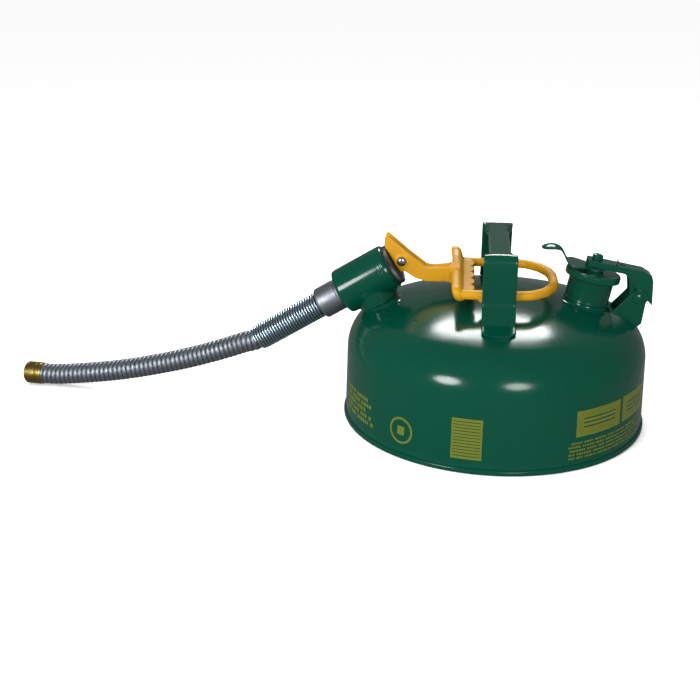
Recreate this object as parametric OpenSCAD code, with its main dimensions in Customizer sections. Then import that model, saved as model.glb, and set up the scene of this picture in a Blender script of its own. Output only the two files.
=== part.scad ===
// Flat safety gas can with two openings: a self-closing pour valve with a
// flexible metal hose on the left, and a sprung fill cap on the right.
// Millimetres, +Z up. The origin is the middle of the base, on the ground.
// The hose leaves towards -X and the fill cap is on the +X side.

/* [Body] */
// Outside diameter of the base chime
chime_d = 286; // [280:1:296]
// Height of the base chime
chime_h = 10; // [8:0.5:12]
// Thickness of the body's sheet steel
sheet = 1; // [0.8:0.1:1.2]
// Height at which the wall turns into the shoulder
shoulder_z = 66; // [60:1:70]
// Radius of the rounded shoulder
shoulder_r = 40; // [36:1:44]
// Slope in degrees where the shoulder meets the domed top
dome_slope = 17; // [14:1:19]

/* [Carry handle] */
// Height of the top of the handle
handle_top = 172; // [168:1:182]
// Width of the handle's steel strap
handle_w = 27; // [24:1:30]
// Width of the handle at its waist
handle_waist = 17.5; // [15:0.5:20]
// Thickness of the handle's steel strap
handle_t = 2.5; // [2:0.5:3]
// Distance between the middles of the two legs
handle_span = 132; // [128:1:136]

/* [Pour valve] */
// Outside diameter of the valve body
valve_d = 44; // [42:1:46]
// Length of the valve body
valve_len = 54; // [52:1:56]
// Tilt of the valve's axis above the horizontal, in degrees
valve_tilt = 31; // [29:1:32]
// Diameter of the valve stem
stem_d = 8; // [7:0.5:9]
// Outside diameter of the pour neck
pour_neck_d = 36; // [34:1:37]

/* [Trigger lever] */
// Width over the two cheeks of the lever's head
head_w = 16; // [15:0.5:18]
// Diameter of the pin between the lever and the stem
lever_pin_d = 5; // [4:0.5:5]
// Thickness of the loop's bar
loop_d = 8.6; // [7:0.2:9]
// Half of the loop's width, to the middle of its bars
loop_half_w = 56; // [52:1:57]

/* [Fill opening] */
// Lean of the fill neck away from the middle, in degrees
fill_lean = 10.5; // [8:0.5:12]
// Outside diameter of the fill neck
fill_neck_d = 40.6; // [38:0.2:42]
// Outside diameter of the fill cap
cap_d = 50.4; // [50:0.2:52]
// Diameter of the hinge pin
hinge_pin_d = 6; // [5:0.5:6.5]

/* [Hose] */
// Outside diameter of the metal hose
hose_d = 20; // [18:0.5:20.5]
// Outside diameter of the spring guard over the hose
guard_d = 25.4; // [24.5:0.2:27]
// Length of the spring guard
guard_len = 74; // [60:1:80]
// Outside diameter of the brass nozzle
nozzle_d = 22.4; // [21:0.2:23]
// Length of the brass nozzle
nozzle_len = 19; // [16:1:22]

/* [Hidden] */
$fn = 72;

paint = "#0b5540";
trigger_paint = "#e3a21a";
zinc = "#8d9296";
steel = "#6f757a";
brass = "#96803a";
rubber = "#24262a";

run = 0.05;           // radial clearance of a running fit

// Body: the wall leans in slightly, then turns over a shoulder into a dome.
chime_r = chime_d / 2;
seam_w = 2;                               // how far the chime stands out
wall_r = chime_r - seam_w;                // wall radius at the foot
draft = 1.5;                              // how much the wall leans in
pan_z = 4;                                // height of the base pan's underside
foot_z = 14;                              // top of the upright foot of the wall
shoulder_cr = wall_r - draft - shoulder_r;
dome_start_r = shoulder_cr + shoulder_r * sin(dome_slope);
dome_start_z = shoulder_z + shoulder_r * cos(dome_slope);
dome_r = dome_start_r / sin(dome_slope);
dome_cz = dome_start_z - dome_r * cos(dome_slope);

// Pour valve: its own frame has +X along the stem, towards the trigger.
valve_x = -145.5;                         // middle of the valve body's left end
valve_z = 114.5;
valve_r = valve_d / 2;
neck_a = 27;                              // where the pour neck joins the valve
boss_drop = 25;                           // reach of the valve body's neck boss
boss_r = 19.5;
port_r = 11.5;                            // hose thread in the left end
seat_a = 18;                              // face that the seat ring sits on
chamber_r = 17;
bonnet_face = 58.8;                       // outer face of the bonnet
bonnet_r = 19.5;
disc_a = 20.05;                           // sealing face of the disc gasket
pin_a = 66;                               // lever pin, along the stem's axis
stem_r = stem_d / 2;
neck_bore_r = 15.5;

// Trigger lever: its head rocks on the bonnet's upper edge.
face_a = 59.1;                            // face of the lever's head
knuckle_r = 10;                           // round of the head about its pin
pin_r = lever_pin_d / 2;
slot_rise = 1.7;                          // travel of the pin across the eye
cheek_t = 3;
plate_x0 = -33;                           // finger plate, left and right edges
plate_x1 = -21;
plate_top = 136;
fin_x = -36;                              // middle of the finger plate's fin
fin_t = 10;
loop_z = 133;                             // height of the middle of the loop's bar
loop_r = loop_d / 2;
scallops = 5;

// Fill opening: its own frame has +Z along the neck, from the cap's rim.
fill_x = 86.3;
fill_z = 137.1;
fill_neck_r = fill_neck_d / 2;
fill_bore_r = fill_neck_r - 1.3;
lip_r = 23;
lip_top = 2.5;
cap_r = cap_d / 2;
cap_h = 6.2;
cap_inside = 5;                           // underside of the cap's disc
hub_top = 7.4;                            // raised middle of the cap
shank_r = 3;                              // rivet's shank
hinge_u = 43.5;                           // hinge pin in the fill frame
hinge_v = -8.3;
hinge_r = hinge_pin_d / 2;
arm_top = 16.8;
arm_low = 10.8;
arm_half_w = 9.5;
arm_t = 1.5;
ear_gap = 0.5;
ear_t = 2;
ear_in = arm_half_w + ear_gap;
hinge_x = fill_x + hinge_u * cos(fill_lean) + hinge_v * sin(fill_lean);
hinge_z = fill_z - hinge_u * sin(fill_lean) + hinge_v * cos(fill_lean);

// Hose: it runs straight through its nut and guard, then droops on a route
// of round numbers until the nozzle lies on the ground.
nut_len = 24;
nut_r = 15.2;
guard_end = nut_len + guard_len;
nozzle_r = nozzle_d / 2;
hose_fall = [
    [-243, 0.5, 57.6], [-260, 2, 51], [-285, 4, 43], [-310, 5.5, 36],
    [-336, 7, 29.5], [-362, 8.5, 23.8], [-388, 10.2, 19], [-414, 12, 15.2],
    [-438, 14, 12.2], [-450, 15.1, 11.4], [-458, 15.8, 11.4]
];
nozzle_yaw = 5;                           // degrees the nozzle points rearwards
hose_end = hose_fall[len(hose_fall) - 1];

// ---- helpers ----

// Points of an arc about [cx, cy] from angle a0 to a1 in n steps.
function arc(cx, cy, r, a0, a1, n) = [
    for (i = [0 : n])
        let (a = a0 + (a1 - a0) * i / n)
        [cx + r * cos(a), cy + r * sin(a)]
];

// A point of the valve's frame, in the can's frame.
function valve_point(a, p = 0) = [
    valve_x + a * cos(valve_tilt) - p * sin(valve_tilt),
    0,
    valve_z + a * sin(valve_tilt) + p * cos(valve_tilt)
];

function unit(v) = v / norm(v);

module at_valve() {
    translate([valve_x, 0, valve_z])
        rotate([0, -valve_tilt, 0])
            children();
}

module at_fill() {
    translate([fill_x, 0, fill_z])
        rotate([0, fill_lean, 0])
            children();
}

// Turns an outline of [radius, distance] points about the X axis.
module turned_x(outline) {
    rotate([0, 90, 0])
        rotate_extrude()
            polygon(outline);
}

// A bar along Y, centred on y = 0.
module cross_bar(r, length) {
    rotate([90, 0, 0])
        cylinder(r = r, h = length, center = true);
}

// A plate cut from an XZ outline, centred on y = 0.
module cross_plate(outline, width) {
    rotate([90, 0, 0])
        linear_extrude(width, center = true)
            polygon(outline);
}

// A bar of n sides swept along a route of points.
module swept(route, r, sides) {
    last = len(route) - 1;
    ways = [
        for (i = [0 : last])
            unit(route[min(i + 1, last)] - route[max(i - 1, 0)])
    ];
    rings = [
        for (i = [0 : last])
            let (side = unit(cross([0, 0, 1], ways[i])), rise = cross(ways[i], side))
            for (k = [0 : sides - 1])
                let (a = 360 * k / sides)
                route[i] + r * (cos(a) * side + sin(a) * rise)
    ];
    walls = [
        for (i = [0 : last - 1], k = [0 : sides - 1])
            let (m = (k + 1) % sides, b = i * sides, t = b + sides)
            [b + k, t + k, t + m, b + m]
    ];
    start = [[for (k = [0 : sides - 1]) k]];
    stop = [[for (k = [sides - 1 : -1 : 0]) last * sides + k]];
    polyhedron(rings, concat(walls, start, stop), convexity = 6);
}

// A coil about the Z axis, from z0 to z1.
module coil(r, wire_r, z0, z1, turns, steps = 12, sides = 6) {
    n = turns * steps;
    points = [
        for (i = [0 : n])
            let (a = 360 * i / steps, z = z0 + (z1 - z0) * i / n)
            for (k = [0 : sides - 1])
                let (w = r + wire_r * cos(360 * k / sides))
                [w * cos(a), w * sin(a), z + wire_r * sin(360 * k / sides)]
    ];
    walls = [
        for (i = [0 : n - 1], k = [0 : sides - 1])
            let (m = (k + 1) % sides, b = i * sides, t = b + sides)
            [b + k, t + k, t + m, b + m]
    ];
    start = [[for (k = [0 : sides - 1]) k]];
    stop = [[for (k = [sides - 1 : -1 : 0]) n * sides + k]];
    polyhedron(points, concat(walls, start, stop), convexity = 8);
}

// ---- body ----

// Outline of the body's outside, or of its inside when inset by the sheet.
function body_outline(inset) = concat(
    [[wall_r - inset, pan_z], [wall_r - inset, foot_z]],
    arc(shoulder_cr, shoulder_z, shoulder_r - inset, 0, 90 - dome_slope, 14),
    arc(0, dome_cz, dome_r - inset, 90 - dome_slope + 1.5, 90, 8)
);

function reversed(list) = [for (i = [len(list) - 1 : -1 : 0]) list[i]];

module body_shell() {
    color(paint)
        difference() {
            rotate_extrude($fn = 120)
                polygon(concat(body_outline(0), reversed(body_outline(sheet))));
            at_valve()
                translate([neck_a, 0, -60])
                    cylinder(d = pour_neck_d, h = 50);
            at_fill()
                translate([0, 0, -50])
                    cylinder(r = fill_neck_r, h = 40);
        }
}

module base_pan() {
    rim_h = 8;
    pan_r = wall_r - sheet;
    color(paint)
        rotate_extrude($fn = 120)
            polygon([
                [0, pan_z], [pan_r, pan_z], [pan_r, pan_z + rim_h],
                [pan_r - sheet, pan_z + rim_h], [pan_r - sheet, pan_z + sheet],
                [0, pan_z + sheet]
            ]);
}

module base_chime() {
    lip = 5;
    color(paint)
        rotate_extrude($fn = 120)
            polygon([
                [chime_r - lip, 0], [chime_r - 0.6, 0], [chime_r, 0.6],
                [chime_r, chime_h - 1.2], [chime_r - 0.9, chime_h],
                [wall_r, chime_h], [wall_r, pan_z], [chime_r - lip, pan_z]
            ]);
}

// ---- carry handle ----

leg_y = handle_span / 2;
bend_r = 9;
crease_z = 126;
foot_y = 83;
foot_end_y = 99;

// Height of the dome at a radius.
function dome_at(r) = dome_cz + sqrt(dome_r * dome_r - r * r);

// The strap's side view: a row of [y, z] points from the foot's end up to the
// middle of the grip, for one face of the strap.
function strap_face(off) = concat(
    [
        [foot_end_y, dome_at(foot_end_y) + off],
        [foot_y + off * 0.3, dome_at(foot_y) + off * 0.8 + 0.3],
        [leg_y + off, crease_z + off * 0.4]
    ],
    arc(leg_y + handle_t - bend_r, handle_top - bend_r, bend_r - handle_t + off, 0, 90, 8),
    [[0, handle_top - handle_t + off]]
);

module strap_side() {
    polygon(concat(strap_face(handle_t), reversed(strap_face(0))));
}

module carry_handle() {
    waist_cut = (handle_w - handle_waist) / 2;
    grip_half = 47;
    cut_r = (grip_half * grip_half + waist_cut * waist_cut) / (2 * waist_cut);
    edge_h = 7;
    chamfer = 5;
    color(paint)
        difference() {
            union() {
                for (side = [0, 180])
                    rotate([90, 0, 90 + side])
                        linear_extrude(handle_w, center = true)
                            strap_side();
                // rolled edges under the grip
                difference() {
                    translate([-handle_w / 2, -grip_half, handle_top - edge_h])
                        cube([handle_w, 2 * grip_half, edge_h - handle_t / 2]);
                    difference() {
                        translate([-handle_w / 2 + handle_t, -grip_half - 1, handle_top - edge_h - 1])
                            cube([handle_w - 2 * handle_t, 2 * grip_half + 2, edge_h + 2]);
                        for (side = [-1, 1])
                            translate([side * (handle_waist / 2 + cut_r), 0, handle_top - edge_h - 2])
                                cylinder(r = cut_r + handle_t, h = edge_h + 4, $fn = 180);
                    }
                }
            }
            // waist of the grip
            for (side = [-1, 1])
                translate([side * (handle_waist / 2 + cut_r), 0, handle_top - edge_h - 1])
                    cylinder(r = cut_r, h = edge_h + 2, $fn = 180);
            // clipped corners of the two feet
            for (side = [0, 180], corner = [-1, 1])
                rotate([0, 0, side])
                    translate([corner * handle_w / 2, foot_end_y, 100])
                        rotate([0, 0, 45])
                            cube([chamfer * sqrt(2), chamfer * sqrt(2), 30], center = true);
        }
}

// ---- pour valve ----

module pour_neck() {
    neck_end = 40;
    color(paint)
        at_valve()
            translate([neck_a, 0, -neck_end])
                difference() {
                    cylinder(d = pour_neck_d, h = neck_end - boss_drop);
                    translate([0, 0, -1])
                        cylinder(r = neck_bore_r, h = neck_end);
                }
}

// Flame arrester: a cup of perforated metal below the pour neck.
module pour_screen() {
    cup_r = 14;
    wall = 0.8;
    drop = 66;
    rim_at = 38;
    color(zinc)
        at_valve()
            translate([neck_a, 0, -drop])
                difference() {
                    union() {
                        cylinder(r = cup_r, h = drop - boss_drop - 3);
                        translate([0, 0, drop - rim_at])
                            cylinder(r = neck_bore_r, h = 2);
                    }
                    translate([0, 0, wall])
                        cylinder(r = cup_r - wall, h = drop);
                    screen_slots(cup_r, 24);
                }
}

// Upright slots through a cup's wall, which the fine mesh covers.
module screen_slots(r, h) {
    slot_w = 5;
    slot_low = 5;
    for (i = [0 : 2])
        rotate([0, 0, 60 * i + 30])
            translate([-r - 1, -slot_w / 2, slot_low])
                cube([2 * r + 2, slot_w, h]);
}

module valve_body() {
    edge = 2;
    color(paint)
        at_valve()
            difference() {
                union() {
                    turned_x([
                        [0, 0], [valve_r - 1, 0], [valve_r, 1],
                        [valve_r, valve_len - edge], [valve_r - edge, valve_len],
                        [0, valve_len]
                    ]);
                    translate([neck_a, 0, -boss_drop])
                        cylinder(r = boss_r, h = boss_drop);
                }
                turned_x([
                    [0, -1], [port_r, -1], [port_r, seat_a - 5], [7, seat_a - 4],
                    [7, seat_a], [chamber_r, seat_a], [chamber_r, valve_len + 1],
                    [0, valve_len + 1]
                ]);
                translate([neck_a, 0, -boss_drop - 1])
                    cylinder(r = neck_bore_r - 3, h = boss_drop);
            }
}

module valve_seat() {
    color(brass)
        at_valve()
            turned_x([[7, seat_a], [10.5, seat_a], [10.5, 19.4], [9.4, 20], [8, 20], [7, 19.4]]);
}

module valve_bonnet() {
    plug_a = 46;
    color(steel)
        at_valve()
            turned_x([
                [stem_r + run, bonnet_face], [bonnet_r - 0.6, bonnet_face],
                [bonnet_r, bonnet_face - 0.6], [bonnet_r, valve_len + 1],
                [chamber_r, valve_len + 1], [chamber_r, plug_a],
                [8, plug_a], [8, plug_a + 3], [stem_r + run, plug_a + 3]
            ]);
}

module bonnet_gasket() {
    color(rubber)
        at_valve()
            turned_x([
                [chamber_r, valve_len], [bonnet_r, valve_len],
                [bonnet_r, valve_len + 1], [chamber_r, valve_len + 1]
            ]);
}

module stem_seal() {
    color(rubber)
        at_valve()
            turned_x([[stem_r + run, 46.4], [8, 46.4], [8, 49], [stem_r + run, 49]]);
}

module valve_stem() {
    tail_r = 2.5;
    eye_half = 3.4;
    eye_half_h = 6.2;
    color(zinc)
        at_valve()
            difference() {
                union() {
                    turned_x([
                        [0, 15.4], [tail_r, 15.4], [tail_r, 25], [stem_r, 25],
                        [stem_r, bonnet_face + 2.2], [0, bonnet_face + 2.2]
                    ]);
                    translate([bonnet_face + 0.8, -eye_half, -eye_half_h + 1])
                        cube([pin_a - bonnet_face - 0.8, 2 * eye_half, 2 * eye_half_h]);
                    translate([pin_a, 0, 1])
                        cross_bar(eye_half_h, 2 * eye_half);
                }
                for (p = [0, slot_rise])
                    translate([pin_a, 0, p])
                        cross_bar(pin_r + 3 * run, 20);
                translate([pin_a - pin_r - 3 * run, -10, 0])
                    cube([2 * (pin_r + 3 * run), 20, slot_rise]);
            }
}

module valve_disc() {
    color(brass)
        at_valve()
            turned_x([[2.5, 22], [12, 22], [12, 23.4], [6, 25], [2.5, 25]]);
}

module disc_gasket() {
    color(rubber)
        at_valve()
            turned_x([[2.5, disc_a], [11.5, disc_a], [11.5, 22], [2.5, 22]]);
}

module stem_nut() {
    color(brass)
        at_valve()
            translate([17, 0, 0])
                rotate([0, 90, 0])
                    difference() {
                        cylinder(r = 5.2, h = disc_a - 17, $fn = 6);
                        translate([0, 0, -1])
                            cylinder(r = 2.5, h = 6);
                    }
}

module valve_spring() {
    coil_r = 9.4;
    wire_r = 0.9;
    low_a = 26;
    high_a = 45;
    color(steel)
        at_valve()
            rotate([0, 90, 0])
                coil(coil_r, wire_r, low_a, high_a, 5);
}

// ---- trigger lever ----

function head_point(a, p) = [valve_point(a, p)[0], valve_point(a, p)[2]];

head_outline = concat(
    [head_point(face_a, 21), [-105, 169]],
    arc(-103, 170.6, 2.2, 190, 50, 4),
    [[-66, 143.5], [-60, 143], [-44, 145], [-44, 130], [-66, 130], [-75, 132.5], [-83, 137.4]],
    arc(valve_point(pin_a)[0], valve_point(pin_a)[2], knuckle_r, 285, 258, 4),
    [head_point(face_a, -3)]
);

// The loop's plan, from the finger plate round to the middle of its end.
loop_side = [
    [plate_x0 + 4, loop_half_w], [16, loop_half_w], [30, loop_half_w - 4],
    [41, loop_half_w - 15], [49, 25], [51, 12], [51, 0]
];

// A path moved sideways by off, with its corners kept sharp.
function mitred(path, off) = [
    for (i = [0 : len(path) - 1])
        let (
            before = unit(path[max(i, 1)] - path[max(i, 1) - 1]),
            after = unit(path[min(i + 1, len(path) - 1)] - path[min(i, len(path) - 2)]),
            out = unit([-before[1] - after[1], before[0] + after[0]])
        )
        path[i] + off * out / (out * [-before[1], before[0]])
];

module loop_bar(side) {
    path = [for (q = loop_side) [q[0], side * q[1]]];
    translate([0, 0, loop_z - loop_r])
        linear_extrude(2 * loop_r)
            polygon(concat(mitred(path, loop_r), reversed(mitred(path, -loop_r))));
}

// The plate behind the fin, with a scallop for each finger.
module finger_plate() {
    plate_t = 6;
    plate_half = loop_half_w - 3;
    pitch = 2 * plate_half / scallops;
    scallop_r = 8;
    scallop_x = plate_x1 + 5.5;
    difference() {
        translate([plate_x0, -plate_half, plate_top - plate_t])
            cube([plate_x1 - plate_x0, 2 * plate_half, plate_t]);
        for (i = [0 : scallops])
            translate([scallop_x, -plate_half + i * pitch, plate_top - plate_t - 1])
                cylinder(r = scallop_r, h = plate_t + 2);
    }
}

// The tall fin across the finger plate, with rounded ends.
module fin() {
    corner_y = 54;                        // middles of the rounded corners
    corner_r = 7;
    low_z = 135;
    high_z = 140;
    dip_y = 35;                           // the top edge dips between the ends
    dip_z = 144.5;
    translate([fin_x, 0, 0])
        rotate([0, 0, 90])
            cross_plate(concat(
                    arc(corner_y, high_z, corner_r, 0, 90, 6),
                    [[dip_y, dip_z], [-dip_y, dip_z]],
                    arc(-corner_y, high_z, corner_r, 90, 180, 6),
                    arc(-corner_y, low_z, corner_r, 180, 270, 6),
                    arc(corner_y, low_z, corner_r, 270, 360, 6)
                ), fin_t);
}

module trigger_lever() {
    gap_w = head_w - 2 * cheek_t;
    block_x = -45;                        // thick root of the fin
    color(trigger_paint)
        difference() {
            union() {
                cross_plate(head_outline, head_w);
                translate([block_x, -head_w / 2 - 1, plate_top - 6])
                    cube([fin_x - block_x, head_w + 2, 15]);
                fin();
                finger_plate();
                for (side = [-1, 1])
                    loop_bar(side);
                // small lug under the front bar
                translate([-12, -loop_half_w, loop_z - 5])
                    cross_bar(3, 8);
            }
            // slot between the cheeks, closed along the top by a web
            at_valve()
                translate([pin_a - 20, -gap_w / 2, -30])
                    cube([31, gap_w, 42]);
            at_valve()
                translate([pin_a, 0, 0])
                    cross_bar(pin_r, head_w + 10);
        }
}

module trigger_pin() {
    color(steel)
        at_valve()
            translate([pin_a, 0, 0]) {
                cross_bar(pin_r, head_w + 3.2);
                translate([0, -head_w / 2 - 1.1, 0])
                    cross_bar(4.4, 2.2);
            }
}

module pin_clip() {
    color(steel)
        at_valve()
            translate([pin_a, head_w / 2 + 0.5, 0])
                difference() {
                    cross_bar(4.6, 1);
                    cross_bar(pin_r, 3);
                }
}

// ---- fill opening ----

module fill_neck() {
    neck_low = -32;
    bead_v = -23;
    color(paint)
        at_fill()
            rotate_extrude()
                polygon([
                    [fill_bore_r, neck_low], [fill_neck_r, neck_low],
                    [fill_neck_r, bead_v], [fill_neck_r + 0.9, bead_v + 1],
                    [fill_neck_r + 0.9, bead_v + 2], [fill_neck_r, bead_v + 3],
                    [fill_neck_r, 0.4], [lip_r, 0.6], [lip_r, lip_top], [fill_bore_r, lip_top]
                ]);
}

// Flame arrester: a perforated basket that hangs from the fill neck's lip.
module fill_screen() {
    basket_r = 17;
    basket_low = -46;
    wall = 0.8;
    color(zinc)
        at_fill()
            difference() {
                union() {
                    translate([0, 0, basket_low])
                        cylinder(r = basket_r, h = lip_top + 0.8 - basket_low);
                    translate([0, 0, lip_top])
                        cylinder(r = 21.5, h = 0.8);
                }
                translate([0, 0, basket_low + wall])
                    cylinder(r = basket_r - wall, h = 60);
                translate([0, 0, basket_low])
                    screen_slots(basket_r, 30);
            }
}

module cap_disc() {
    color(paint)
        at_fill()
            rotate_extrude()
                polygon([
                    [shank_r, cap_inside], [cap_r, cap_inside],
                    [cap_r, cap_h - 1], [cap_r - 1, cap_h], [cap_r - 4, cap_h],
                    [cap_r - 5, cap_h - 0.4], [9, cap_h - 0.4], [8, hub_top],
                    [shank_r, hub_top]
                ]);
}

// The cap's skirt, which closes round the neck's lip.
module cap_rim() {
    rim_t = 1.2;
    color(paint)
        at_fill()
            rotate_extrude()
                polygon([
                    [cap_r - rim_t, 0], [cap_r, 0], [cap_r, cap_inside],
                    [cap_r - rim_t, cap_inside]
                ]);
}

module cap_gasket() {
    seal_v = lip_top + 0.85;
    color(rubber)
        at_fill()
            difference() {
                translate([0, 0, seal_v])
                    cylinder(r = 22.5, h = cap_inside - seal_v);
                cylinder(r = 15, h = 10);
            }
}

module cap_washer() {
    color(zinc)
        at_fill()
            difference() {
                translate([0, 0, hub_top])
                    cylinder(r = 7.5, h = 1.6);
                cylinder(r = shank_r, h = 20);
            }
}

// Thumb tab: a strip under the arm that curls up beyond the cap's edge.
module thumb_tab() {
    tab_t = 1.6;
    strip_v = 9;
    strip_half = 9.5;
    spoon = arc(-49.5, 12.6, 8.6, 128, 50, 5);
    outline = concat(
        [[8, strip_v], [-24.5, strip_v], [-27.5, strip_v + 1.2], [-41, 17]],
        reversed(spoon),
        arc(-49.5, 12.6, 8.6 + tab_t, 128, 50, 5),
        [[-40, 19], [-27.6, strip_v + tab_t + 1.2], [-24, strip_v + tab_t], [8, strip_v + tab_t]]
    );
    color(paint)
        at_fill()
            difference() {
                union() {
                    cross_plate([for (q = outline) if (q[0] > -26) q], 2 * strip_half);
                    cross_plate([for (q = outline) if (q[0] < -23) q], 15);
                }
                cylinder(r = shank_r, h = 30);
            }
}

module relief_spring() {
    coil_r = 5;
    wire_r = 0.7;
    low_v = 11.35;
    color(steel)
        at_fill()
            coil(coil_r, wire_r, low_v, arm_top - arm_t - wire_r - 0.05, 1.5);
}

module cap_rivet() {
    head_h = 5.4;
    color(paint)
        at_fill()
            rotate_extrude()
                polygon([
                    [0, 3.6], [4.2, 3.6], [4.2, cap_inside], [shank_r, cap_inside],
                    [shank_r, arm_top],
                    [4.9, arm_top], [4.9, arm_top + head_h - 1.2],
                    [3.6, arm_top + head_h], [0, arm_top + head_h]
                ]);
}

// Cap arm: a channel with its web on top, bent down to the hinge.
arm_outline = [
    [-8, arm_low], [-8, arm_top], [43, arm_top], [50.5, 14], [53, 9],
    [58, -13], [52.5, -9], [51, -15.5], [36, -15.5], [35, -4], [32, 5], [27, arm_low]
];
arm_hollow = [
    [-12, arm_low - 5], [-12, arm_top - arm_t], [42.6, arm_top - arm_t],
    [49.3, 12.8], [51.6, 8.5], [55.5, -10], [60, -30], [30, -30], [30, -5], [26, 0]
];

module cap_arm() {
    color(paint)
        at_fill()
            difference() {
                cross_plate(arm_outline, 2 * arm_half_w);
                cross_plate(arm_hollow, 2 * (arm_half_w - arm_t));
                cylinder(r = shank_r, h = 30);
                translate([hinge_u, 0, hinge_v])
                    cross_bar(hinge_r + run, 40);
                // small hook pressed up out of the web leaves this slot
                translate([21, -2.5, arm_top - 3])
                    cube([5, 5, 5]);
            }
    color(paint)
        at_fill()
            cross_plate([[19.4, arm_top - arm_t], [21, arm_top - arm_t], [21, arm_top],
                         [19, arm_top + 3.4], [17.6, arm_top + 2.6], [19.4, arm_top]], 5);
}

// Hinge bracket: two ears on a saddle welded to the dome.
module hinge_bracket() {
    ear_r = 7.5;
    ear = concat(
        arc(hinge_x, hinge_z, ear_r, 150, -15, 8),
        [[132.5, 97.5], [128, 93.2], [121, 99.5], [110, 105.2], [105.5, 107]]
    );
    saddle_top = 1.6;
    color(paint)
        difference() {
            union() {
                difference() {
                    cross_plate(ear, 2 * (ear_in + ear_t));
                    cross_plate([[60, 60], [60, 160], [160, 160], [160, 60]], 2 * ear_in);
                }
                // saddle that follows the dome
                intersection() {
                    rotate_extrude($fn = 120)
                        polygon(concat(
                            arc(0, dome_cz, dome_r + saddle_top, 90 - dome_slope + 1.5, 90, 8),
                            reversed(arc(0, dome_cz, dome_r - 1, 90 - dome_slope + 1.5, 90, 8)),
                            reversed(arc(shoulder_cr, shoulder_z, shoulder_r - 1, 50, 90 - dome_slope, 6)),
                            arc(shoulder_cr, shoulder_z, shoulder_r + saddle_top, 50, 90 - dome_slope, 6)
                        ));
                    translate([104, -ear_in - ear_t, 80])
                        cube([22, 2 * (ear_in + ear_t), 40]);
                }
            }
            rotate_extrude($fn = 120)
                polygon(concat([[0, 60]], [[wall_r, 60]], body_outline(0)));
            at_fill()
                translate([hinge_u, 0, hinge_v])
                    cross_bar(hinge_r + run, 40);
            at_fill()
                translate([0, 0, -40])
                    cylinder(r = fill_neck_r + 1.2, h = 60);
        }
}

module hinge_pin() {
    head_r = 4.6;
    outer = ear_in + ear_t;
    color(paint)
        at_fill()
            translate([hinge_u, 0, hinge_v]) {
                cross_bar(hinge_r, 2 * outer + 2);
                for (side = [-1, 1])
                    translate([0, side * (outer + 1.1), 0])
                        cross_bar(head_r, 1.8);
            }
}

// Torsion spring that holds the cap shut, wound on the hinge pin.
module cap_spring() {
    color(steel)
        at_fill()
            translate([hinge_u, 0, hinge_v])
                rotate([90, 0, 0])
                    coil(4.4, 0.7, -5, 5, 6);
}

// ---- hose ----

module hose_nut() {
    color(zinc)
        at_valve()
            turned_x([
                [hose_d / 2 + 0.2, -nut_len], [nut_r - 1, -nut_len], [nut_r, -nut_len + 1],
                [nut_r, 0], [port_r, 0], [port_r, 12], [9, 12], [9, -nut_len + 10],
                [hose_d / 2 + 0.2, -nut_len + 10]
            ]);
}

module hose_guard() {
    taper = 5;
    color(steel)
        at_valve()
            turned_x([
                [hose_d / 2 + 0.4, -nut_len], [guard_d / 2, -nut_len],
                [guard_d / 2, taper - guard_end], [guard_d / 2 - 1.3, -guard_end],
                [hose_d / 2 + 0.4, -guard_end]
            ]);
}

hose_route = concat(
    [
        for (a = [nut_len - 10, nut_len + guard_len / 3, nut_len + guard_len * 2 / 3, guard_end])
            valve_point(-a)
    ],
    hose_fall
);

module hose() {
    color(zinc)
        swept(hose_route, hose_d / 2, 12);
}

module hose_nozzle() {
    mouth_r = 7.5;
    relief_r = 9;                         // wider at the hose's end
    color(brass)
        translate(hose_end)
            rotate([0, 0, 180 - nozzle_yaw])
                turned_x([
                    [relief_r, 0], [nozzle_r, 0], [nozzle_r, nozzle_len - 0.8],
                    [nozzle_r - 0.8, nozzle_len], [mouth_r, nozzle_len],
                    [mouth_r, 1], [relief_r, 1]
                ]);
}

body_shell();
base_pan();
base_chime();
carry_handle();
pour_neck();
pour_screen();
valve_body();
valve_seat();
valve_bonnet();
bonnet_gasket();
stem_seal();
valve_stem();
valve_disc();
disc_gasket();
stem_nut();
valve_spring();
trigger_lever();
trigger_pin();
pin_clip();
fill_neck();
fill_screen();
hinge_bracket();
hinge_pin();
cap_spring();
cap_arm();
cap_disc();
cap_rim();
cap_gasket();
cap_washer();
relief_spring();
thumb_tab();
cap_rivet();
hose_nut();
hose_guard();
hose();
hose_nozzle();
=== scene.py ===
"""A flat safety gas can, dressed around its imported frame.

A domed green steel body carries a strap handle, a pour valve with a cast
trigger and a flexible metal hose, and a sprung fill cap. Builders work in
millimetres in the can's own frame; pieces become metres when they are made.
"""

import logging
import math
import random
from collections.abc import Callable, Sequence
from dataclasses import dataclass, field
from enum import Enum

import bmesh
import bpy
from mathutils import Matrix, Vector


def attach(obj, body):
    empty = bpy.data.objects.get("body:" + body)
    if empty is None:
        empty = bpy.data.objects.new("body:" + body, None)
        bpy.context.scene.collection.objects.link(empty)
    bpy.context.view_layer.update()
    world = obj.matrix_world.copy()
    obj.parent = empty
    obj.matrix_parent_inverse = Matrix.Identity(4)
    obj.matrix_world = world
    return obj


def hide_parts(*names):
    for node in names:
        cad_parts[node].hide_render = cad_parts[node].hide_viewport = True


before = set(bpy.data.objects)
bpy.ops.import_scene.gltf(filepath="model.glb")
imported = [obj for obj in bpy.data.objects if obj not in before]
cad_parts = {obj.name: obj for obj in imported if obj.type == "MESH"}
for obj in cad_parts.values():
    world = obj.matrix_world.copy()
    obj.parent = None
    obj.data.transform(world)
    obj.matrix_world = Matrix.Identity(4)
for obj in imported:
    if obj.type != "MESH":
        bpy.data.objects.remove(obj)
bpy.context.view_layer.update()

log = logging.getLogger("safety_can")

MM = 0.001
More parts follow.
